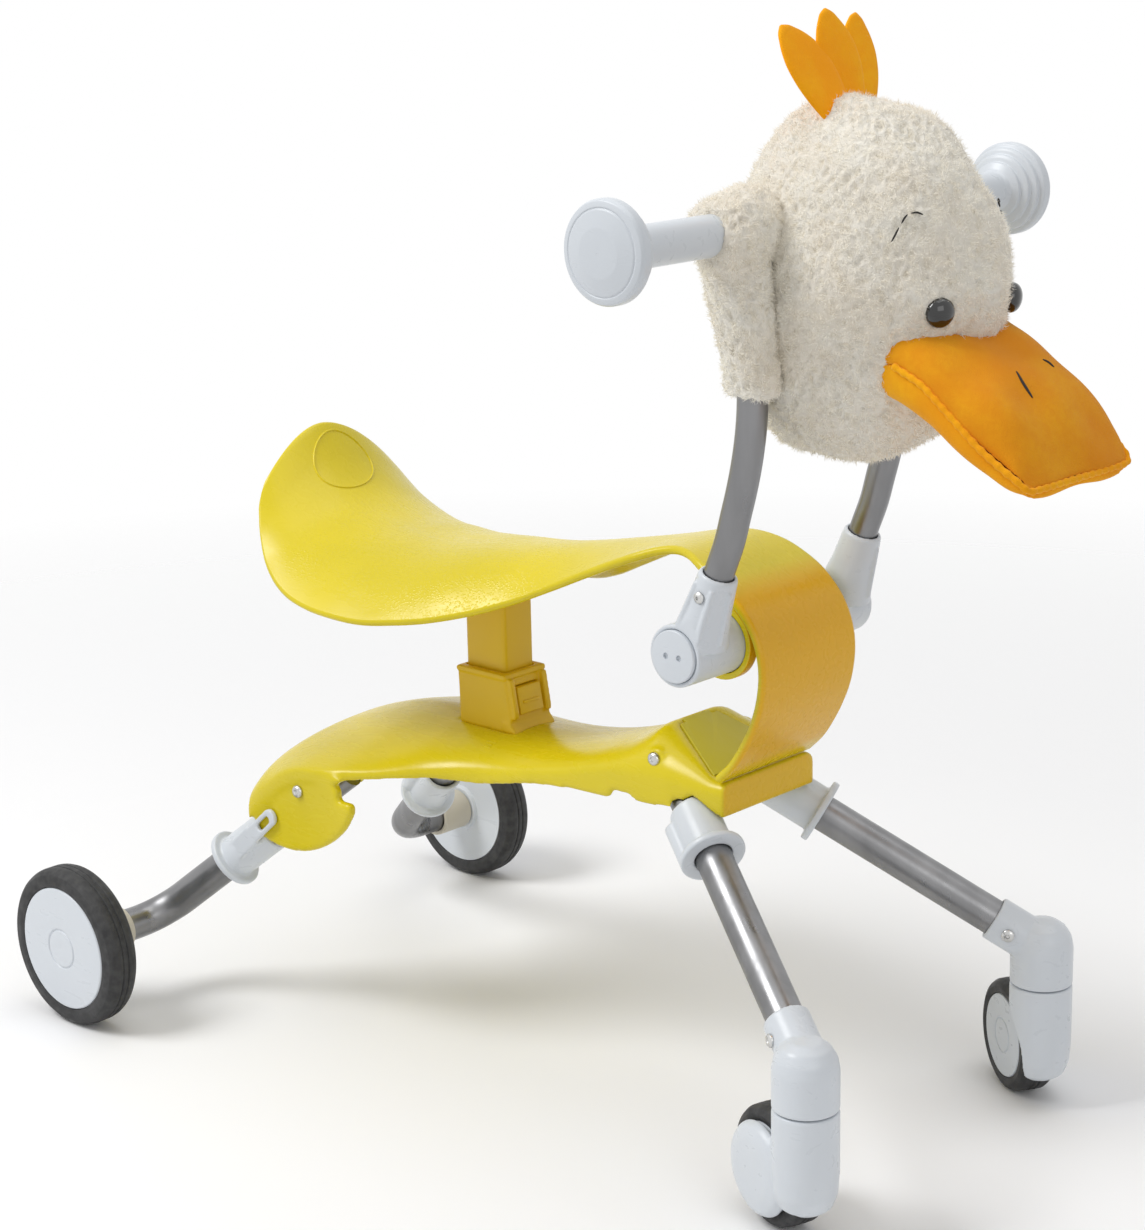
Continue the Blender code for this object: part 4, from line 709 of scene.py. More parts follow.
# Seat and band: ahead and up along the middle, across, ahead and up at the rim, and the power between them
SEAT_STATIONS = [
    (55.5, 357.5, 50.0, 57.5, 330.0, 1.9), (59.0, 352.5, 58.5, 61.0, 319.0, 1.9),
    (64.5, 344.0, 65.0, 66.5, 308.0, 2.0), (71.5, 334.0, 71.0, 74.0, 297.0, 2.1),
    (80.5, 324.5, 77.0, 83.5, 287.0, 2.2), (92.5, 315.5, 82.5, 96.0, 279.0, 2.2),
    (107.5, 308.5, 86.0, 111.0, 272.0, 2.3), (125.0, 304.0, 87.0, 128.0, 267.5, 2.4),
    (147.0, 302.0, 86.5, 149.0, 265.0, 2.5), (170.0, 301.2, 84.0, 171.0, 264.2, 2.5),
    (192.0, 302.6, 79.5, 192.0, 266.2, 2.5), (215.0, 304.8, 72.5, 215.0, 269.5, 2.5),
    (240.0, 307.3, 61.0, 240.0, 275.5, 2.4), (262.0, 310.2, 50.5, 262.0, 283.5, 2.3),
    (284.0, 314.0, 43.0, 284.0, 294.0, 2.2), (306.0, 318.2, 39.5, 306.0, 305.0, 2.2),
    (326.0, 322.0, 37.5, 326.0, 314.5, 2.2), (342.0, 325.0, 35.0, 342.0, 321.5, 2.2),
    (355.0, 327.6, 31.0, 355.0, 326.3, 2.0), (368.0, 329.2, 29.5, 368.0, 328.8, 2.0),
    (380.0, 328.8, 32.5, 380.0, 328.5, 2.0), (392.0, 325.2, 37.0, 392.0, 325.0, 2.0)]
BAND_LINE = [(404.0, 319.2), (414.0, 313.2), (424.0, 304.9), (431.5, 295.5), (436.5, 284.5), (438.6, 272.5),
             (437.9, 260.5), (435.2, 248.5), (430.3, 236.5), (424.3, 225.5), (417.0, 214.8), (408.2, 206.2)]
SEAT_TABLE = np.array(SEAT_STATIONS + [(ahead, up, 40.5 if up < 319 else 39.5, ahead, up, 2.0)
                                       for ahead, up in BAND_LINE])
SEAT_RUN = run_along(SEAT_TABLE[:, :2])
SHELL_THICK = 5.0
RIM_ANGLES = (30, 60, 90, 120, 150)
END_ANGLES = (90, 67, 45, 22)


def seat_surface(along, place):
    """The seat's upper face, where place goes from -1 at one rim to 1 at the other: share = sin(90 deg *
    |place|), across = rim * share, ahead = middle + (rim - middle) * share^2 and up = middle + (rim -
    middle) * share^power."""
    table = through(SEAT_RUN, SEAT_TABLE, along)
    middle_ahead, middle_up, rim, rim_ahead, rim_up, power = table.T[:, :, None]
    share = np.sin(np.pi / 2 * np.abs(place)) * (1 - SHELL_THICK / 2 / rim)
    return at(np.sign(place) * rim * share, middle_ahead + (rim_ahead - middle_ahead) * share**2,
              middle_up + (rim_up - middle_up) * share**power)


def seat_skin():
    """A shell under the seat's upper face, its rims and ends half round: each row is a loop of offsets from
    the middle of the shell, and the loops of an end shrink by cos(b) while they move out by sin(b)."""
    top = seat_surface(np.linspace(SHELL_THICK / 2, SEAT_RUN[-1], 190), np.linspace(-1, 1, 71))
    lengthways = unit(np.gradient(top, axis=0))
    sideways = unit(np.gradient(top, axis=1))
    normal = unit(np.cross(sideways, lengthways))
    normal *= np.sign(normal[30, 35, 2])
    half = SHELL_THICK / 2 * MM
    angle = np.radians(RIM_ANGLES)[None, :, None]
    right = normal[:, -1:] * np.cos(angle) + sideways[:, -1:] * np.sin(angle)
    left = -normal[:, :1] * np.cos(angle) - sideways[:, :1] * np.sin(angle)

    def looped(values):
        steps = len(RIM_ANGLES)
        return np.concatenate([values, np.repeat(values[:, -1:], steps, 1), values[:, ::-1],
                               np.repeat(values[:, :1], steps, 1)], 1)

    centre, way = looped(top - normal * half), looped(lengthways)
    offset = np.concatenate([normal, right, -normal[:, ::-1], left], 1) * half
    turn = np.radians(END_ANGLES)[:, None, None]
    first = centre[:1] + offset[:1] * np.cos(turn) - way[:1] * half * np.sin(turn)
    last = centre[-1:] + offset[-1:] * np.cos(turn[::-1]) + way[-1:] * half * np.sin(turn[::-1])
    points = np.concatenate([first, centre + offset, last])
    return points.reshape(-1, 3), grid_faces(*points.shape[:2], False, True)


AXLE_SPOT = (406.5, 284.0)
EYE_RING = soften([(10.3, 31), (20.8, 31), (20.8, 37.5), (17.4, 37.5), (17.4, 34.2), (10.3, 34.2)], 0.6)
EYE_WEB = np.concatenate([arc(AXLE_SPOT, 18.6, 18, 156, 24),
                          [(391.5, 306), (394, 321), (409, 314.5), (420, 305)]])
axle_centre = at(0, *AXLE_SPOT)
ears = []
for _, sign in SIDES:
    ears += [revolve(EYE_RING, axle_centre, ACROSS * sign, 96, True),
             upright_plate(EYE_WEB, sign * 31.6, sign * 36.9, 0.6)]
seat = solid("saddle_and_band", seat_skin(), *ears, sharp=50)
points, normals, across, ahead, up = spots_of(seat)
# The tint mark paints warm shade on the band's faces turned to the front
mark_points(seat, "tint", ramp(-normals[:, 1], 0.15, 0.4) * ramp(ahead, 406, 14))
mark_points(seat, "sitting", ramp(normals[:, 2], 0, 0.5) * ramp(ahead, 84, 20) * ramp(-ahead, -300, 30)
            * (1 - (np.abs(across) / 80) ** 6))
dress(seat, saddle_yellow, "chassis", "yellow_plastic", "seat_shell")
points, normals, across, ahead, up = spots_of(base)
# The tint mark paints warm shade, at 0.7 strength, on the front wall's faces turned to the front
mark_points(base, "tint", ramp(-normals[:, 1], 0.6, 0.3) * ramp(ahead, 402, 4) * 0.7)

# The raised oval on the seat's back: where its line runs along the seat, and its share of the way to the rim
angle = np.linspace(0, 2 * np.pi, 97)[:-1]
along = 27.5 + 20.5 * np.sin(angle) + 2.5 * np.cos(angle)
share = (2.5 - 6 * np.sin(angle) + 23 * np.cos(angle)) / through(SEAT_RUN, SEAT_TABLE, along)[:, 2]
oval = np.concatenate([seat_surface(np.array([run]), np.array([place]))[0]
                       for run, place in zip(along, np.arcsin(share) * 2 / np.pi)])
badge = solid("seat_back_oval", sweep(oval, 0.7, UP, 10, True))
dress(badge, saddle_yellow, "chassis", "yellow_plastic")

# Handlebar
LEAN = math.radians(20.2)
UPRIGHT_ACROSS = 61.6
KNUCKLE_FOOT = (410, 284)
SCREW_REACH = 36
BAR_HALF, AXLE_HALF, AXLE_RADIUS = 160, 54, 10
GRIP_SPOT = (447.3, 506.9)
UPRIGHT = [(434.0, 347.7), (437.7, 360.5), (441.5, 373.5), (444.6, 386.0), (447.0, 398.5), (448.7, 412.0),
           (449.4, 430.0), (449.0, 455.0), GRIP_SPOT]
BARREL = soften([(10.3, 34.6), (17, 34.6), (17, 74.6), (0, 74.6), (0, 54.3), (10.3, 54.3)], 1.2, False)
SLEEVE = soften([(0, 6), (15.8, 8), (14.2, 15), (12, 29), (10.6, 46.4), (9.7, 47.8), (0, 47.8)], 0.8, False)
SCREW = [(0, 9.2), (1.4, 9.2), (1.4, 10.8), (3.1, 10.9), (3.1, 11.9), (2.4, 12.7), (1.0, 13.0), (0.8, 12.2),
         (0, 12.1)]
CAP = soften([(0, 73.1), (14.3, 73.1), (14.3, 76.2), (0, 76.4)], 0.8, False)
GRIP = soften([(8.3, 78), (10.5, 78), (10.5, 148), (11.5, 150.6), (15.2, 152.4), (15.2, 154.2), (17.6, 154.8),
               (19.2, 155.6), (19.2, 157.6), (21.4, 158.2), (22.6, 159), (22.6, 161.2), (24.4, 161.8),
               (25.3, 163), (25.3, 167.6), (24.4, 169.3), (21.5, 170.2), (20.9, 169.7), (20.3, 170.4),
               (12, 172.3), (0, 173.0), (0, 160.3), (8.3, 160.3)], 0.5)
GRIP[:, 0] = np.maximum(GRIP[:, 0], 0)
lean = toward(0, math.sin(LEAN), math.cos(LEAN))
ahead_way = unit(np.cross(ACROSS, lean))
ahead_way = ahead_way * -np.sign(ahead_way[1])
grip_spot = at(0, *GRIP_SPOT)
feet = {side: at(sign * UPRIGHT_ACROSS, *KNUCKLE_FOOT) for side, sign in SIDES}
handle_axle = solid("handle_axle_bar", rod(AXLE_RADIUS, -AXLE_HALF, AXLE_HALF, axle_centre, ACROSS, 64))
dress(handle_axle, grey_tube, "handlebar", "grey_tube", "handle_axle")
tubes = [rod(TUBE_RADIUS, -BAR_HALF, BAR_HALF, grip_spot, ACROSS, 48)]
for side, sign in SIDES:
    knots = [feet[side] + lean * 22 * MM, feet[side] + lean * 50 * MM]
    knots = np.array(knots + [at(sign * UPRIGHT_ACROSS, *spot) for spot in UPRIGHT])
    tubes.append(sweep(smooth_line(knots, 90), TUBE_RADIUS, ACROSS, 48))
handle_frame = solid("handle_tubes", *tubes)
dress(handle_frame, grey_tube, "handlebar", "grey_tube", "handle_frame")
for side, sign in SIDES:
    outward = ACROSS * sign
    foot = feet[side]
    screw_spot = foot + lean * SCREW_REACH * MM
    knuckle = solid(f"fork_knuckle_white_{side}", revolve(BARREL, axle_centre, outward, 96, True))
    ribs = []
    for turn in np.radians((-32, 30, 82)):
        rib_way = math.cos(turn) * outward + math.sin(turn) * ahead_way
        high, low = foot + (lean * 42 + rib_way * 10.6) * MM, foot + (lean * 13 + rib_way * 14.4) * MM
        ribs.append(rod(1.7, 0, np.linalg.norm(high - low) / MM, low, unit(high - low), 24))
    combine(knuckle, [revolve(SLEEVE, foot, lean, 96), *ribs], "UNION")
    combine(knuckle, [rod(40, 74.6, 90, axle_centre, outward, 96, 0.1),
                      rod(14.6, 72.8, 80.6, axle_centre, outward, 96, 0.1),
                      rod(8.4, 21.5, 60, foot, lean, 64, 0.1),
                      rod(3.6, 10.6, 20, screw_spot, outward, 40, 0.1)], "DIFFERENCE")
    moulded(knuckle, 0.65, 4)
    dress(knuckle, white, "handlebar", "white_plastic", f"fork_knuckle_{side}")
    screw = solid(f"sleeve_screw_zinc_{side}", revolve(SCREW, screw_spot, outward, 32))
    dress(screw, zinc, "handlebar", "bright_steel", f"sleeve_screw_{side}")
    cap = solid(f"knuckle_cap_white_{side}", revolve(CAP, axle_centre, outward, 96))
    combine(cap, [rod(1.8, 75.0, 80, at(0, AXLE_SPOT[0] + shift, AXLE_SPOT[1]), outward, 32, 0.1)
                  for shift in (4.4, -4.4)], "DIFFERENCE")
    dress(cap, white, "handlebar", "white_plastic", f"knuckle_cap_{side}")
    grip = solid(f"grip_white_{side}", revolve(GRIP, grip_spot, outward, 96, True))
    dress(grip, white, "handlebar", "white_plastic", f"grip_{side}")

# Stuffed head, sleeves and eyes
HEAD_AHEAD, HEAD_UP = 478, 477.5
HEAD_HALF_WIDTH, HEAD_HALF_DEPTH, HEAD_HALF_HEIGHT = 64, 73, 91.5
HEAD_CENTRE = at(0, HEAD_AHEAD, HEAD_UP)
PILE_LENGTH, FIBRE_HALF = 3.6, 0.17
HEAD_FIBRES, SLEEVE_FIBRES = 64000, 15000


def head_skin(rows=232, steps=330):
    """height = cos a, spread = sin(a)^0.86 above and sin(a)^0.72 below; the rings narrow towards the crown
    and lean back at both ends."""
    angle = np.linspace(0, np.pi, rows)[:, None]
    height = np.cos(angle)
    spread = np.maximum(np.sin(angle), 0) ** np.where(height > 0, 0.86, 0.72)
    narrow = 1 - 0.12 * np.maximum(0, height) ** 2 - 0.04 * np.maximum(0, -height)
    shift = np.where(height > 0, -11 * height, 12 * height)
    around = np.linspace(0, 2 * np.pi, steps, endpoint=False)[None]
    points = at(HEAD_HALF_WIDTH * spread * narrow * np.cos(around),
                HEAD_AHEAD + shift + HEAD_HALF_DEPTH * spread * narrow * np.sin(around),
                HEAD_UP + HEAD_HALF_HEIGHT * height + 0 * around)
    return points.reshape(-1, 3), grid_faces(rows, steps, False, True)


def curly(piece, height, lump):
    """Pushes the pile out along the normals: two sizes of ridged curls on top of slow lumps."""
    points, normals = spots_of(piece)[:2]
    curls = 0.62 - np.abs(ripple(points, 7.5, 0)) + 0.55 * (0.5 - np.abs(ripple(points, 4.0, 1)))
    push(piece, points, normals, height * curls + lump * ripple(points, 46, 2))


def fuzz(name, piece, count):
    """Short curled fibres that stand on the piece. Each is a thin blade: root, middle = root + 0.5 * length *
    way and tip = middle + 0.5 * length * (way turned by its curl). Neighbours lean alike, as in a fleece."""
    chance = np.random.default_rng(11)
    centres, normals, areas = (listed(piece.data.polygons, field, width)
                               for field, width in (("center", 3), ("normal", 3), ("area", 1)))
    pick = chance.choice(len(areas), count, p=areas[:, 0] / areas.sum())
    root, normal = centres[pick], normals[pick]
    root = root + chance.normal(0, 0.3 * MM, root.shape) - normal * 0.4 * MM
    swirl = np.stack([ripple(root, 9.0, kind) for kind in range(3)], -1)
    way = unit(normal + 0.6 * swirl + 0.4 * chance.normal(size=root.shape))
    curl = unit(way + 0.7 * chance.normal(size=root.shape) + 0.6 * swirl)
    reach = PILE_LENGTH * MM * chance.uniform(0.6, 1.15, (count, 1))
    middle = root + 0.5 * reach * way
    tip = middle + 0.5 * reach * curl
    side = unit(np.cross(way, chance.normal(size=root.shape))) * FIBRE_HALF * MM
    corners = [root - side, root + side, middle + side * 0.9, middle - side * 0.9, tip]
    points = np.stack(corners, 1).reshape(-1, 3)
    start = 5 * np.arange(count)[:, None]
    faces = (start + np.array([[0, 1, 2, 3]])).tolist() + (start + np.array([[3, 2, 4]])).tolist()
    mesh = bpy.data.meshes.new(name)
    mesh.from_pydata(points.tolist(), [], faces)
    mesh.shade_smooth()
    coat = bpy.data.objects.new(name, mesh)
    bpy.context.scene.collection.objects.link(coat)
    dress(coat, fibre, "handlebar", "white_plush")


head = solid("plush_head_fleece", head_skin(), sharp=180)
curly(head, 0.7, 0.8)
fuzz("head_pile", head, HEAD_FIBRES)
dress(head, pile, "handlebar", "white_plush", "plush_head")
SLEEVE_LINE = ((64, 449.5, 427), (65.5, 449.5, 445), (67.5, 449, 465), (71, 448, 484), (73.5, 447.3, 500))
CUFF = soften([(0, 50), (17, 51), (19.5, 59), (20, 76), (19, 88), (15, 92.5), (0, 92.5)], 5, False)
EYE_SPOT = (30.5, 540, 470)
EYE_RADIUS, EYE_HEIGHT = 7.6, 5.2
angle = np.radians(np.linspace(-90, 90, 25))
EYE = np.stack([EYE_RADIUS * np.cos(angle), EYE_HEIGHT * np.sin(angle) + 0.6], -1)
for side, sign in SIDES:
    line = smooth_line(np.array([at(sign * across, ahead, up) for across, ahead, up in SLEEVE_LINE]), 40)
    sleeve = solid(f"plush_sleeve_fleece_{side}", sweep(line, np.linspace(15.6, 17.5, 40), ACROSS, 40),
                   revolve(CUFF, grip_spot, ACROSS * sign, 64))
    moulded(sleeve, 1.3, 12, 180)
    curly(sleeve, 0.8, 1.8)
    fuzz(f"sleeve_pile_{side}", sleeve, SLEEVE_FIBRES)
    dress(sleeve, pile, "handlebar", "white_plush", f"plush_sleeve_{side}")
    eye_centre = at(sign * EYE_SPOT[0], *EYE_SPOT[1:])
    eye = solid(f"eye_black_{side}", revolve(EYE, eye_centre, unit(eye_centre - HEAD_CENTRE), 64), sharp=180)
    dress(eye, bead, "handlebar", "black_eye", f"eye_{side}")

# Beak: ahead, half width, seam height and the far height of the upper or lower half
UPPER_BEAK = np.array([(503, 43, 444.6, 463), (525, 46.5, 444.6, 465), (543, 48, 437.5, 457.5),
                       (560, 49, 424.3, 447), (577, 49.3, 410.6, 434.5), (590, 48, 401.5, 419),
                       (598, 46.5, 396.4, 404.5), (602, 44.5, 391.5, 394.5)])
LOWER_BEAK = np.array([(503, 42.2, 444.1, 426.3), (525, 45.7, 444.1, 422.0), (543, 47.2, 437.0, 413.0),
                       (560, 48.2, 423.8, 403.0), (577, 48.5, 410.1, 394.2), (590, 47.2, 401.0, 387.7),
                       (598, 45.7, 395.9, 386.8), (601, 43.7, 391.0, 386.3)])


def beak_skin(stations, power):
    """Half sections closed by a flat: across = half width * cos(a)^power and up = seam + (far - seam) *
    sin(a)^power."""
    spots = np.linspace(stations[0, 0], stations[-1, 0], 90)
    ahead, half, seam, far = through(stations[:, 0], stations, spots).T[:, :, None]
    angle = np.linspace(0, np.pi, 81)
    across = half * np.sign(np.cos(angle)) * np.abs(np.cos(angle)) ** power
    return capped(at(across, ahead + 0 * across, seam + (far - seam) * np.abs(np.sin(angle)) ** power))


for name, stations, power, finish in (("beak_upper", UPPER_BEAK, 0.7, orange_felt),
                                      ("beak_lower", LOWER_BEAK, 0.45, edge_felt)):
    bill = solid(f"{name}_felt", beak_skin(stations, power), sharp=180)
    moulded(bill, 1.1, 8, 180)
    points, normals = spots_of(bill)[:2]
    push(bill, points, normals, ripple(points, 34, 2) * 0.45)
    dress(bill, finish, "handlebar", "orange_felt", name)
rim = UPPER_BEAK[2:]
edge = np.concatenate([np.stack([-rim[:, 1] - 0.3, rim[:, 0], rim[:, 2]], -1),
                       np.stack([rim[::-1, 1] + 0.3, rim[::-1, 0], rim[::-1, 2]], -1)])
edge = np.concatenate([[(-47.0, 525, UPPER_BEAK[1, 2])], edge, [(47.0, 525, UPPER_BEAK[1, 2])]])
run = run_along(edge)
spots = np.linspace(0, run[-1], 220)
piping = np.stack([np.interp(spots, run, column) for column in edge.T], -1)
for _ in range(12):
    piping[1:-1] = (piping[:-2] + 2 * piping[1:-1] + piping[2:]) / 4
seam = solid("beak_seam", sweep(at(*piping.T), 1.7 + 0.25 * np.sin(spots * 1.1), UP, 16), sharp=180)
dress(seam, edge_felt, "handlebar", "orange_felt")
beak_top = bpy.data.objects["beak_upper_felt"]
bpy.context.view_layer.update()


def stitch(name, spots, lift, size):
    """A thread through the spots, given across, ahead and up in mm, lifted away from the head's middle; spots
    without a height are set down on the beak."""
    if len(spots[0]) == 2:
        spots = [(across, ahead, beak_top.ray_cast(Vector(at(across, ahead, 500)), DOWN)[1][2] / MM)
                 for across, ahead in spots]
    knots = at(*np.array(spots, float).T)
    line = smooth_line(knots + unit(knots - HEAD_CENTRE) * lift * MM, 24)
    thick = size * np.sin(np.linspace(0.12, np.pi - 0.12, 24)) ** 0.4
    dress(solid(name, sweep(line, thick, UP, 12), sharp=180), thread, "handlebar", "black_eye")


BROW_STITCHES = (((45.3, 521.6, 503.5), (43.2, 522.3, 506.8), (41.4, 522.9, 509.8)),
                 ((40.0, 523.4, 511.6), (38.2, 523.8, 514.0), (36.7, 524.3, 515.4)),
                 ((35.4, 525.4, 516.0), (33.1, 527.1, 516.2), (31.3, 529.2, 515.2)))
stitch("nostril_stitch_right", [(-7.5, 569.1), (-9.5, 574.1), (-10.0, 580.2)], 0.3, 0.8)
stitch("nostril_stitch_left", [(20.4, 565.8), (22.3, 567.5), (23.3, 570.4)], 0.3, 0.7)
for side, sign in SIDES:
    for number, spots in enumerate(BROW_STITCHES):
        mirrored = [(sign * across, ahead, up) for across, ahead, up in spots]
        stitch(f"brow_stitch_{side}_{number}", mirrored, 2.6, 0.5)

# Tuft: the tip and foot of each petal, and its half width
PETALS = {"tuft_right": ((-36.0, 442.0, 602.0), (-13.0, 464.0, 554.0), 17.0),
          "tuft_middle": ((-0.5, 447.0, 611.0), (0.0, 464.0, 555.0), 16.5),
          "tuft_left": ((28.5, 449.5, 609.0), (13.0, 464.0, 554.0), 14.5)}
PETAL_KNOTS = (0, 0.15, 0.35, 0.55, 0.75, 0.9, 0.97, 1.0)
PETAL_WIDTH = (0.58, 0.76, 0.95, 1.0, 0.84, 0.5, 0.25, 0.05)
PETAL_DEPTH = (2.9, 3.1, 3.2, 3.0, 2.5, 1.8, 1.3, 0.4)


def petal_skin(tip, foot, half_width, layer):
    """A flat leaf: point = foot + (tip - foot) * share + side * half width * width * cos(a) + deep * (depth *
    sin(a) + place of its layer - arch), where width and depth follow the share of the way to the tip."""
    tip, foot = at(*tip), at(*foot)
    side, deep, _ = square_to(tip - foot, ACROSS)
    share = np.linspace(0, 1, 60)[:, None, None]
    width, depth = (through(PETAL_KNOTS, values, share[:, 0, 0])[:, None, None]
                    for values in (PETAL_WIDTH, PETAL_DEPTH))
    angle = np.linspace(0, 2 * np.pi, 48, endpoint=False)[None, :, None]
    arch = 1.5 * np.sin(np.pi * share) * np.cos(angle) ** 2
    return capped(foot + (tip - foot) * share + (side * half_width * width * np.cos(angle)
                                                 + deep * (depth * np.sin(angle) + layer * 5.4 - arch)) * MM)


for layer, (name, (tip, foot, half_width)) in enumerate(PETALS.items()):
    petal = solid(f"{name}_felt", petal_skin(tip, foot, half_width, layer - 1), sharp=180)
    dress(petal, tuft_felt, "handlebar", "tuft_felt", name)

# Legs and wheels


def bent(start, corner, end, radius):
    """The line from start to end, its corner turned on a radius: centre of the turn + radius * (before *
    sin a - inward * cos a)."""
    before, after = unit(corner - start), unit(end - corner)
    turn = math.acos(before @ after)
    reach = radius * MM * math.tan(turn / 2)
    inward = unit(after - before * (before @ after))
    first, last = corner - before * reach, corner + after * reach
    angle = np.linspace(0, turn, 28)[:, None]
    curve = first + inward * radius * MM + (before * np.sin(angle) - inward * np.cos(angle)) * radius * MM
    return np.concatenate([np.linspace(start, first, 4)[:-1], curve, np.linspace(last, end, 4)[1:]])


PIN_RADIUS, PIN_HOLE = 3, 3.3
PIN_HEAD = [(3, 0.3), (3.9, 0.3), (3.9, 1.3), (3.2, 2.3), (2.0, 2.7), (1.5, 2.6), (1.1, 1.9), (0, 1.8)]
FLANGE_RADIUS, FLANGE_THICK = 18.5, 4
TONGUE_OUTER, TONGUE_END, TONGUE_HALF = 92.8, 33.3, 5.3
SLOT_NEAR, SLOT_FAR, SLOT_HALF = 36, 45, 2.4


def fit_pin(place, side, low, high, line, outward):
    """A pin from low to high along its line, closed by a turned head."""
    profile = [(0, low), (PIN_RADIUS, low), (PIN_RADIUS, high)]
    profile += [(radius, high + rise) for radius, rise in PIN_HEAD]
    pin = solid(f"{place}_pin_rivet_{side}", revolve(profile, line, outward, 48))
    dress(pin, zinc, "chassis", "bright_steel", f"{place}_pin_{side}")


def pull_collar(place, side, origin, along, outward, start, end):
    """A collar round a leg: a round body with a flange and a ridge, and for a rear leg the boss and slotted
    tongue that reach over the knuckle plate."""
    rear, lip = place == "rear", end - FLANGE_THICK
    body = soften([(LEG_BORE, start), (COLLAR_RADIUS, start), (COLLAR_RADIUS, lip), (FLANGE_RADIUS, lip),
                   (FLANGE_RADIUS, end), (LEG_BORE, end)], 0.9)
    collar = solid(f"{place}_collar_white_{side}", revolve(body, origin, along, 96, True))
    out = unit(outward - along * (outward @ along))
    ridge_way = unit(np.cross(along, out) * -outward[0] + out * (-1 if rear else 1))
    parts = [rod(6.0, start + 4, end - 0.6, origin + ridge_way * 12.6 * MM, along, 40)]
    slots = [rod(LEG_BORE, start - 10, end + 10, origin, along, 96, 0.1)]
    if rear:
        flat = unit(np.array([0, along[1], along[2]]))
        level = np.array([0, origin[1], origin[2]])
        near = PLATE_OUTER + 0.5
        tongue = ((TONGUE_END, 70), (-TONGUE_HALF, TONGUE_HALF), (near, TONGUE_OUTER))
        parts += [box(level, outward, flat, ((56, 80), (-6.5, 6.5), (79, TONGUE_OUTER)), 1.2),
                  box(level, outward, flat, tongue, 0.7),
                  rod(TONGUE_HALF, near, TONGUE_OUTER, level + flat * TONGUE_END * MM, outward, 48)]
        slots += [rod(SLOT_HALF, PLATE_OUTER - 3, 96, level + flat * reach * MM, outward, 32, 0.1)
                  for reach in (SLOT_NEAR, SLOT_FAR)]
        slot = ((SLOT_NEAR, SLOT_FAR), (-SLOT_HALF, SLOT_HALF), (PLATE_OUTER - 3, 96))
        slots += [box(level, outward, flat, slot, 0.1)]
    combine(collar, parts, "UNION")
    combine(collar, slots, "DIFFERENCE")
    moulded(collar, 0.7, 3)
    dress(collar, white, f"{place}_collar_{side[0]}", "white_plastic", f"{place}_collar_{side}")


REAR_OUT, REAR_BACK = 0.29, 0.726
REAR_DOWN = math.sqrt(1 - REAR_OUT**2 - REAR_BACK**2)
LEG_HEAD, LEG_END, LEG_BEND = 8, 146, 28
BUSH = soften([(10.55, 136), (13.4, 136), (13.5, 160.4), (4.3, 160.6), (4.3, 146.3), (10.55, 146.3)], 0.9)
REAR_TYRE = soften([(38.9, 162), (42, 161.6), (46.5, 162.1), (48.6, 164), (49.7, 166.4), (50, 168.5),
                    (50, 169.6), (49.2, 169.9), (49.2, 170.6), (50, 170.9), (50, 173.6), (49.2, 173.9),
                    (49.2, 174.6), (50, 174.9), (50, 176), (49.7, 178.1), (48.6, 180.5), (46.5, 182.4),
                    (42, 182.9), (38.9, 182.5)], 0.5)
REAR_HUB = soften([(4.3, 161), (15, 161), (16, 163.5), (33, 162.6), (38.6, 162), (38.6, 182.1), (37.8, 182.9),
                   (13.0, 183.5), (12.6, 182.7), (11.8, 182.7), (11.4, 183.5), (0, 183.5), (0, 177.8),
                   (4.3, 177.8)], 0.45, False)
axle_line, pin_line = at(0, 0, REAR_RADIUS), at(0, *REAR_PIVOT[1:])
for side, sign in SIDES:
    outward = ACROSS * sign
    leg_body, wheel_body = f"rear_leg_{side[0]}", f"rear_wheel_{side[0]}"
    origin = at(sign * REAR_PIVOT[0], *REAR_PIVOT[1:])
    along = toward(sign * REAR_OUT, -REAR_BACK, -REAR_DOWN)
    corner = origin + along * (REAR_PIVOT[2] - REAR_RADIUS) / REAR_DOWN * MM
    corner = np.array([corner[0], axle_line[1], axle_line[2]])
    path = bent(origin - along * LEG_HEAD * MM, corner, at(sign * LEG_END, 0, REAR_RADIUS), LEG_BEND)
    leg = solid(f"rear_leg_tube_{side}", sweep(path, LEG_RADIUS, UP, 64))
    combine(leg, [rod(PIN_HOLE, 30, 100, pin_line, outward, 32, 0.1)], "DIFFERENCE")
    dress(leg, grey_tube, leg_body, "grey_tube", f"rear_leg_{side}")
    fit_pin("rear", side, BRACKET_INNER, PLATE_OUTER, pin_line, outward)
    pull_collar("rear", side, origin, along, outward, 60, 98)
    bush = solid(f"axle_bush_beige_{side}", revolve(BUSH, axle_line, outward, 64, True))
    bush_hole = rod(1.3, 8, 20, at(sign * 150, 0, REAR_RADIUS), toward(-0.3, 0.2, 0.9), 20, 0.1)
    combine(bush, [bush_hole], "DIFFERENCE")
    dress(bush, beige, leg_body, "beige_plastic", f"axle_bush_{side}")
    tyre = solid(f"rear_tyre_rubber_{side}", revolve(REAR_TYRE, axle_line, outward, 160, True))
    dress(tyre, rubber, wheel_body, "tyre_rubber", f"rear_tyre_{side}")
    hub = solid(f"rear_hub_white_{side}", revolve(REAR_HUB, axle_line, outward, 128, True))
    dress(hub, white, wheel_body, "white_plastic", f"rear_hub_{side}")

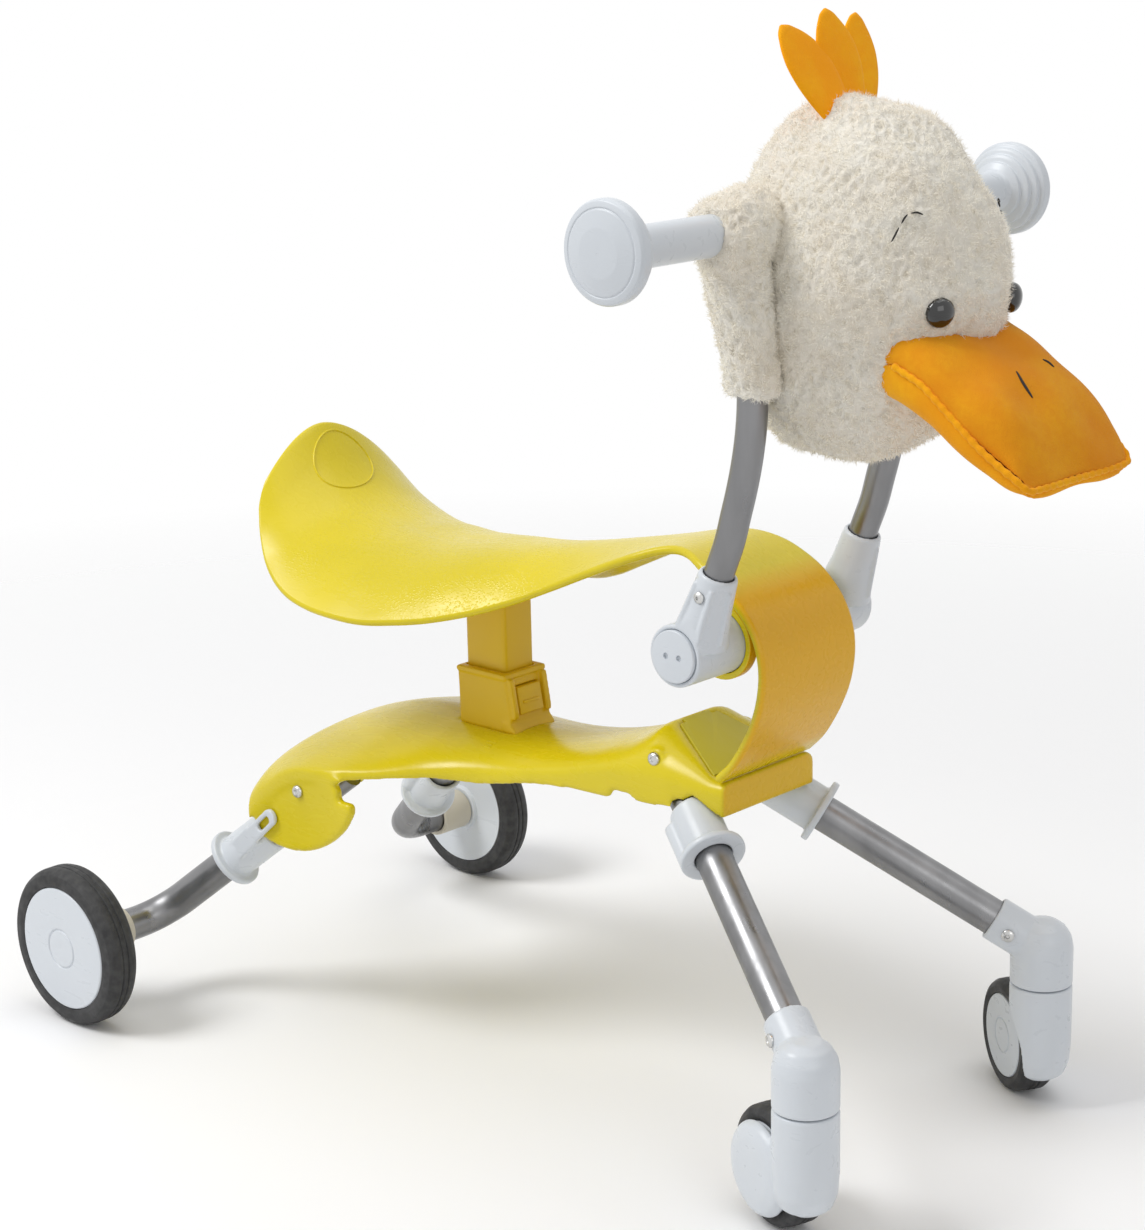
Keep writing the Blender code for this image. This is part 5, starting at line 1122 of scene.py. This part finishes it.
# Front legs and casters: the elbow stands on the stem's line, and the wheel trails behind it
STEM_ACROSS, STEM_AHEAD = 106.8, 518.4
STEM_HOLE = 5.3
BOLT_REACH = 186
CASTER_TURN = {"right": math.radians(20), "left": math.radians(33.5)}
CASTER_TRAIL, CASTER_SHIFT = 25.5, 1.5
front_reach = (STEM_ACROSS - FRONT_START[0]) / FRONT_OUT
tube_end = front_reach - 15
ELBOW = soften([(0, 74.4), (17.5, 74.4), (17.5, 96), (16.4, 102), (13.2, 107.4), (8.2, 110.8), (0, 112.2)],
               1.2, False)
ELBOW_NECK = soften([(0, 175), (12.7, 175), (12.7, front_reach - 4), (0, front_reach - 4)], 1.2, False)
BOLT = [(0, -12.9), (2.2, -12.9), (2.2, 12.6), (3.6, 12.6), (3.6, 13.6), (2.8, 14.4), (1.3, 14.6),
        (0.9, 13.9), (0, 13.8)]
HOOD = soften([(0, 17), (9, 17.5), (14, 21), (16.6, 28), (17.5, 40), (17.5, 73.8), (0, 73.8)], 1.2, False)
HOOD_LOBE = soften([(0, 11.9), (25.5, 11.9), (25.5, 14.2), (23, 17.5), (17, 19), (0, 19.4)], 1.6, False)
FACE = 11.0
HALF_TREAD = [(24.3, FACE - 0.8), (28, FACE - 0.2), (30.8, FACE - 1.6), (32.2, FACE - 4), (32.5, 2.4),
              (31.9, 2.0), (31.9, 1.2), (32.5, 0.8)]
CASTER_TYRE = soften([(radius, -rise) for radius, rise in HALF_TREAD] + HALF_TREAD[::-1], 0.4)
CASTER_HUB = soften([(0, -FACE + 0.4), (9.2, -FACE + 0.4), (9.6, -FACE + 1.1), (10.3, -FACE + 1.1),
                     (10.7, -FACE + 0.4), (23.6, -FACE + 0.5), (24, -FACE + 1.2), (24, FACE - 1.2),
                     (23, FACE - 0.4), (3.8, FACE - 0.4), (3.8, -FACE + 2.7), (0, -FACE + 2.7)], 0.35, False)
for side, sign in SIDES:
    outward = ACROSS * sign
    leg_body, caster_body, wheel_body = (f"{kind}_{side[0]}"
                                         for kind in ("front_leg", "caster", "caster_wheel"))
    origin = at(sign * FRONT_START[0], *FRONT_START[1:])
    along = toward(sign * FRONT_OUT, FRONT_AHEAD, -FRONT_DOWN)
    tube = np.linspace(origin, origin + along * tube_end * MM, 12)
    leg = solid(f"front_leg_tube_{side}", sweep(tube, LEG_RADIUS, UP, 64))
    square_end = box(at(0, 363, 200), toward(0, -1, 0), ACROSS, ((-60, 60), (-40, 40), (0, 50)), 0.1)
    combine(leg, [square_end], "DIFFERENCE")
    combine(leg, [rod(7.6, 11.6, 22, fold_line, outward, 48)], "UNION")
    combine(leg, [rod(PIN_HOLE, 0, 80, fold_line, outward, 32, 0.1)], "DIFFERENCE")
    dress(leg, grey_tube, leg_body, "grey_tube", f"front_leg_{side}")
    fit_pin("front", side, 4.4, 40.5, fold_line, outward)
    pull_collar("front", side, origin, along, outward, 30, 64)
    stem_line = at(sign * STEM_ACROSS, STEM_AHEAD, 0)
    elbow = solid(f"elbow_white_{side}", revolve(ELBOW, stem_line, UP, 96))
    combine(elbow, [revolve(ELBOW_NECK, origin, along, 96)], "UNION")
    combine(elbow, [rod(LEG_BORE, 150, tube_end + 1, origin, along, 64, 0.1),
                    rod(STEM_HOLE, 60, 97, stem_line, UP, 48, 0.1)], "DIFFERENCE")
    moulded(elbow, 0.75, 4)
    dress(elbow, white, leg_body, "white_plastic", f"elbow_{side}")
    level = unit(np.cross(along, UP))
    level = level * (1 if level[0] < 0 else -1)
    bolt = solid(f"elbow_bolt_zinc_{side}", revolve(BOLT, origin + along * BOLT_REACH * MM, level, 32))
    dress(bolt, zinc, leg_body, "bright_steel", f"elbow_bolt_{side}")
    turn = CASTER_TURN[side]
    trail = np.array([math.sin(turn), math.cos(turn), 0])
    outboard = np.array([math.cos(turn), -math.sin(turn), 0]) * sign
    wheel_line = stem_line + trail * CASTER_TRAIL * MM - outboard * CASTER_SHIFT * MM
    wheel_line[2] = CASTER_RADIUS * MM
    hood = solid(f"caster_hood_white_{side}", revolve(HOOD, stem_line, UP, 96))
    combine(hood, [revolve(HOOD_LOBE, wheel_line, outboard, 96)], "UNION")
    combine(hood, [rod(34.1, -60, 11.7, wheel_line, outboard, 120, 0.1),
                   rod(3.8, 0, 16, wheel_line, outboard, 32, 0.1),
                   rod(STEM_HOLE, 62, 90, stem_line, UP, 48, 0.1)], "DIFFERENCE")
    moulded(hood, 0.75, 4)
    dress(hood, white, caster_body, "white_plastic", f"caster_hood_{side}")
    tyre = solid(f"caster_tyre_rubber_{side}", revolve(CASTER_TYRE, wheel_line, outboard, 128, True))
    dress(tyre, rubber, wheel_body, "tyre_rubber", f"caster_tyre_{side}")
    hub = solid(f"caster_hub_white_{side}", revolve(CASTER_HUB, wheel_line, outboard, 96, True))
    dress(hub, white, wheel_body, "white_plastic", f"caster_hub_{side}")
    for node in (f"rear_axle_{side}", f"caster_stem_{side}", f"caster_axle_{side}"):
        inner = bpy.data.objects[node]
        inner.data.materials.clear()
        inner.data.materials.append(zinc.material)

# Floor: pale near the walker, and clear from 1.6 m off so that it fades into the background. Sizes in metres
FLOOR_HALF = 60
floor_finish = Finish("pale_floor", (0.93, 0.93, 0.935), 0.7)
floor_finish.set("Normal", floor_finish.bump(floor_finish.noise(40, 2), 0.02, 0.001))
distance = floor_finish.tree.nodes.new("ShaderNodeVectorMath")
distance.operation = "LENGTH"
floor_finish.feed(distance.inputs[0], floor_finish.where)
floor_finish.blend(floor_finish.spread(distance.outputs["Value"], 0.0, 1.0, 0.6, 1.6),
                   floor_finish.add("ShaderNodeBsdfTransparent"))
corners = [(*spot, 0) for spot in rectangle(-FLOOR_HALF, FLOOR_HALF, -FLOOR_HALF, FLOOR_HALF)]
floor = solid("floor", (np.array(corners, float), [[0, 1, 2, 3]]))
floor.data.materials.append(floor_finish.material)
floor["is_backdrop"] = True


# Light and camera, in metres and watts


def aim(thing, right, upward, back, spot):
    """Puts a light or camera at the spot, its three axes as given."""
    thing.matrix_world = Matrix([[right[i], upward[i], back[i], spot[i]] for i in range(3)] + [[0, 0, 0, 1]])


def soft_light(name, spot, target, size, power):
    """A rectangular soft box that looks at the target."""
    data = bpy.data.lights.new(name, "AREA")
    data.shape = "RECTANGLE"
    data.size, data.size_y = size
    data.energy = power
    lamp = bpy.data.objects.new(name, data)
    bpy.context.scene.collection.objects.link(lamp)
    first, second, away = square_to(np.array(spot) - np.array(target))
    aim(lamp, second, first, away, spot)


soft_light("key", (-1.5, 1.1, 2.3), (0, 0, 0.3), (1.15, 1.15), 43)
soft_light("top", (0.3, -0.3, 2.6), (0, 0, 0.2), (2.0, 2.0), 15)
soft_light("fill", (-1.0, -2.4, 1.2), (0, 0, 0.25), (1.6, 1.2), 7)

# The surroundings are white to the camera and in gloss, and dimmer as a light on the walker
SKY_LIGHT = 0.48
world = bpy.data.worlds.new("studio")
bpy.context.scene.world = world
world.use_nodes = True
sky = world.node_tree
background = sky.nodes["Background"]
background.inputs["Color"].default_value = (1.0, 1.0, 1.0, 1.0)
path = sky.nodes.new("ShaderNodeLightPath")
seen = path.outputs["Is Camera Ray"]
for ray in ("Is Glossy Ray", "Is Transmission Ray"):
    either = sky.nodes.new("ShaderNodeMath")
    either.operation = "MAXIMUM"
    sky.links.new(seen, either.inputs[0])
    sky.links.new(path.outputs[ray], either.inputs[1])
    seen = either.outputs[0]
strength = sky.nodes.new("ShaderNodeMapRange")
strength.inputs["To Min"].default_value = SKY_LIGHT
strength.inputs["To Max"].default_value = 1.0
sky.links.new(seen, strength.inputs["Value"])
sky.links.new(strength.outputs["Result"], background.inputs["Strength"])
bpy.context.scene.view_settings.view_transform = "Standard"

CAMERA_SPOT = (-1.0947, -1.0139, 0.6649)
FOCAL_PIXELS = 2690.1
PICTURE_HEIGHT = 1230
yaw, pitch, roll = (math.radians(angle) for angle in (46.88, 14.84, -1.28))
forward = np.array([math.sin(yaw) * math.cos(pitch), math.cos(yaw) * math.cos(pitch), -math.sin(pitch)])
level_right = unit(np.cross(forward, UP))
level_up = np.cross(level_right, forward)
lens = bpy.data.cameras.new("camera")
lens.sensor_width = 36
lens.lens = FOCAL_PIXELS * lens.sensor_width / PICTURE_HEIGHT
lens.clip_start = 0.05
lens.clip_end = 200
camera = bpy.data.objects.new("camera", lens)
bpy.context.scene.collection.objects.link(camera)
aim(camera, math.cos(roll) * level_right + math.sin(roll) * level_up,
    -math.sin(roll) * level_right + math.cos(roll) * level_up, -forward, CAMERA_SPOT)
bpy.context.scene.camera = camera

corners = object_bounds()
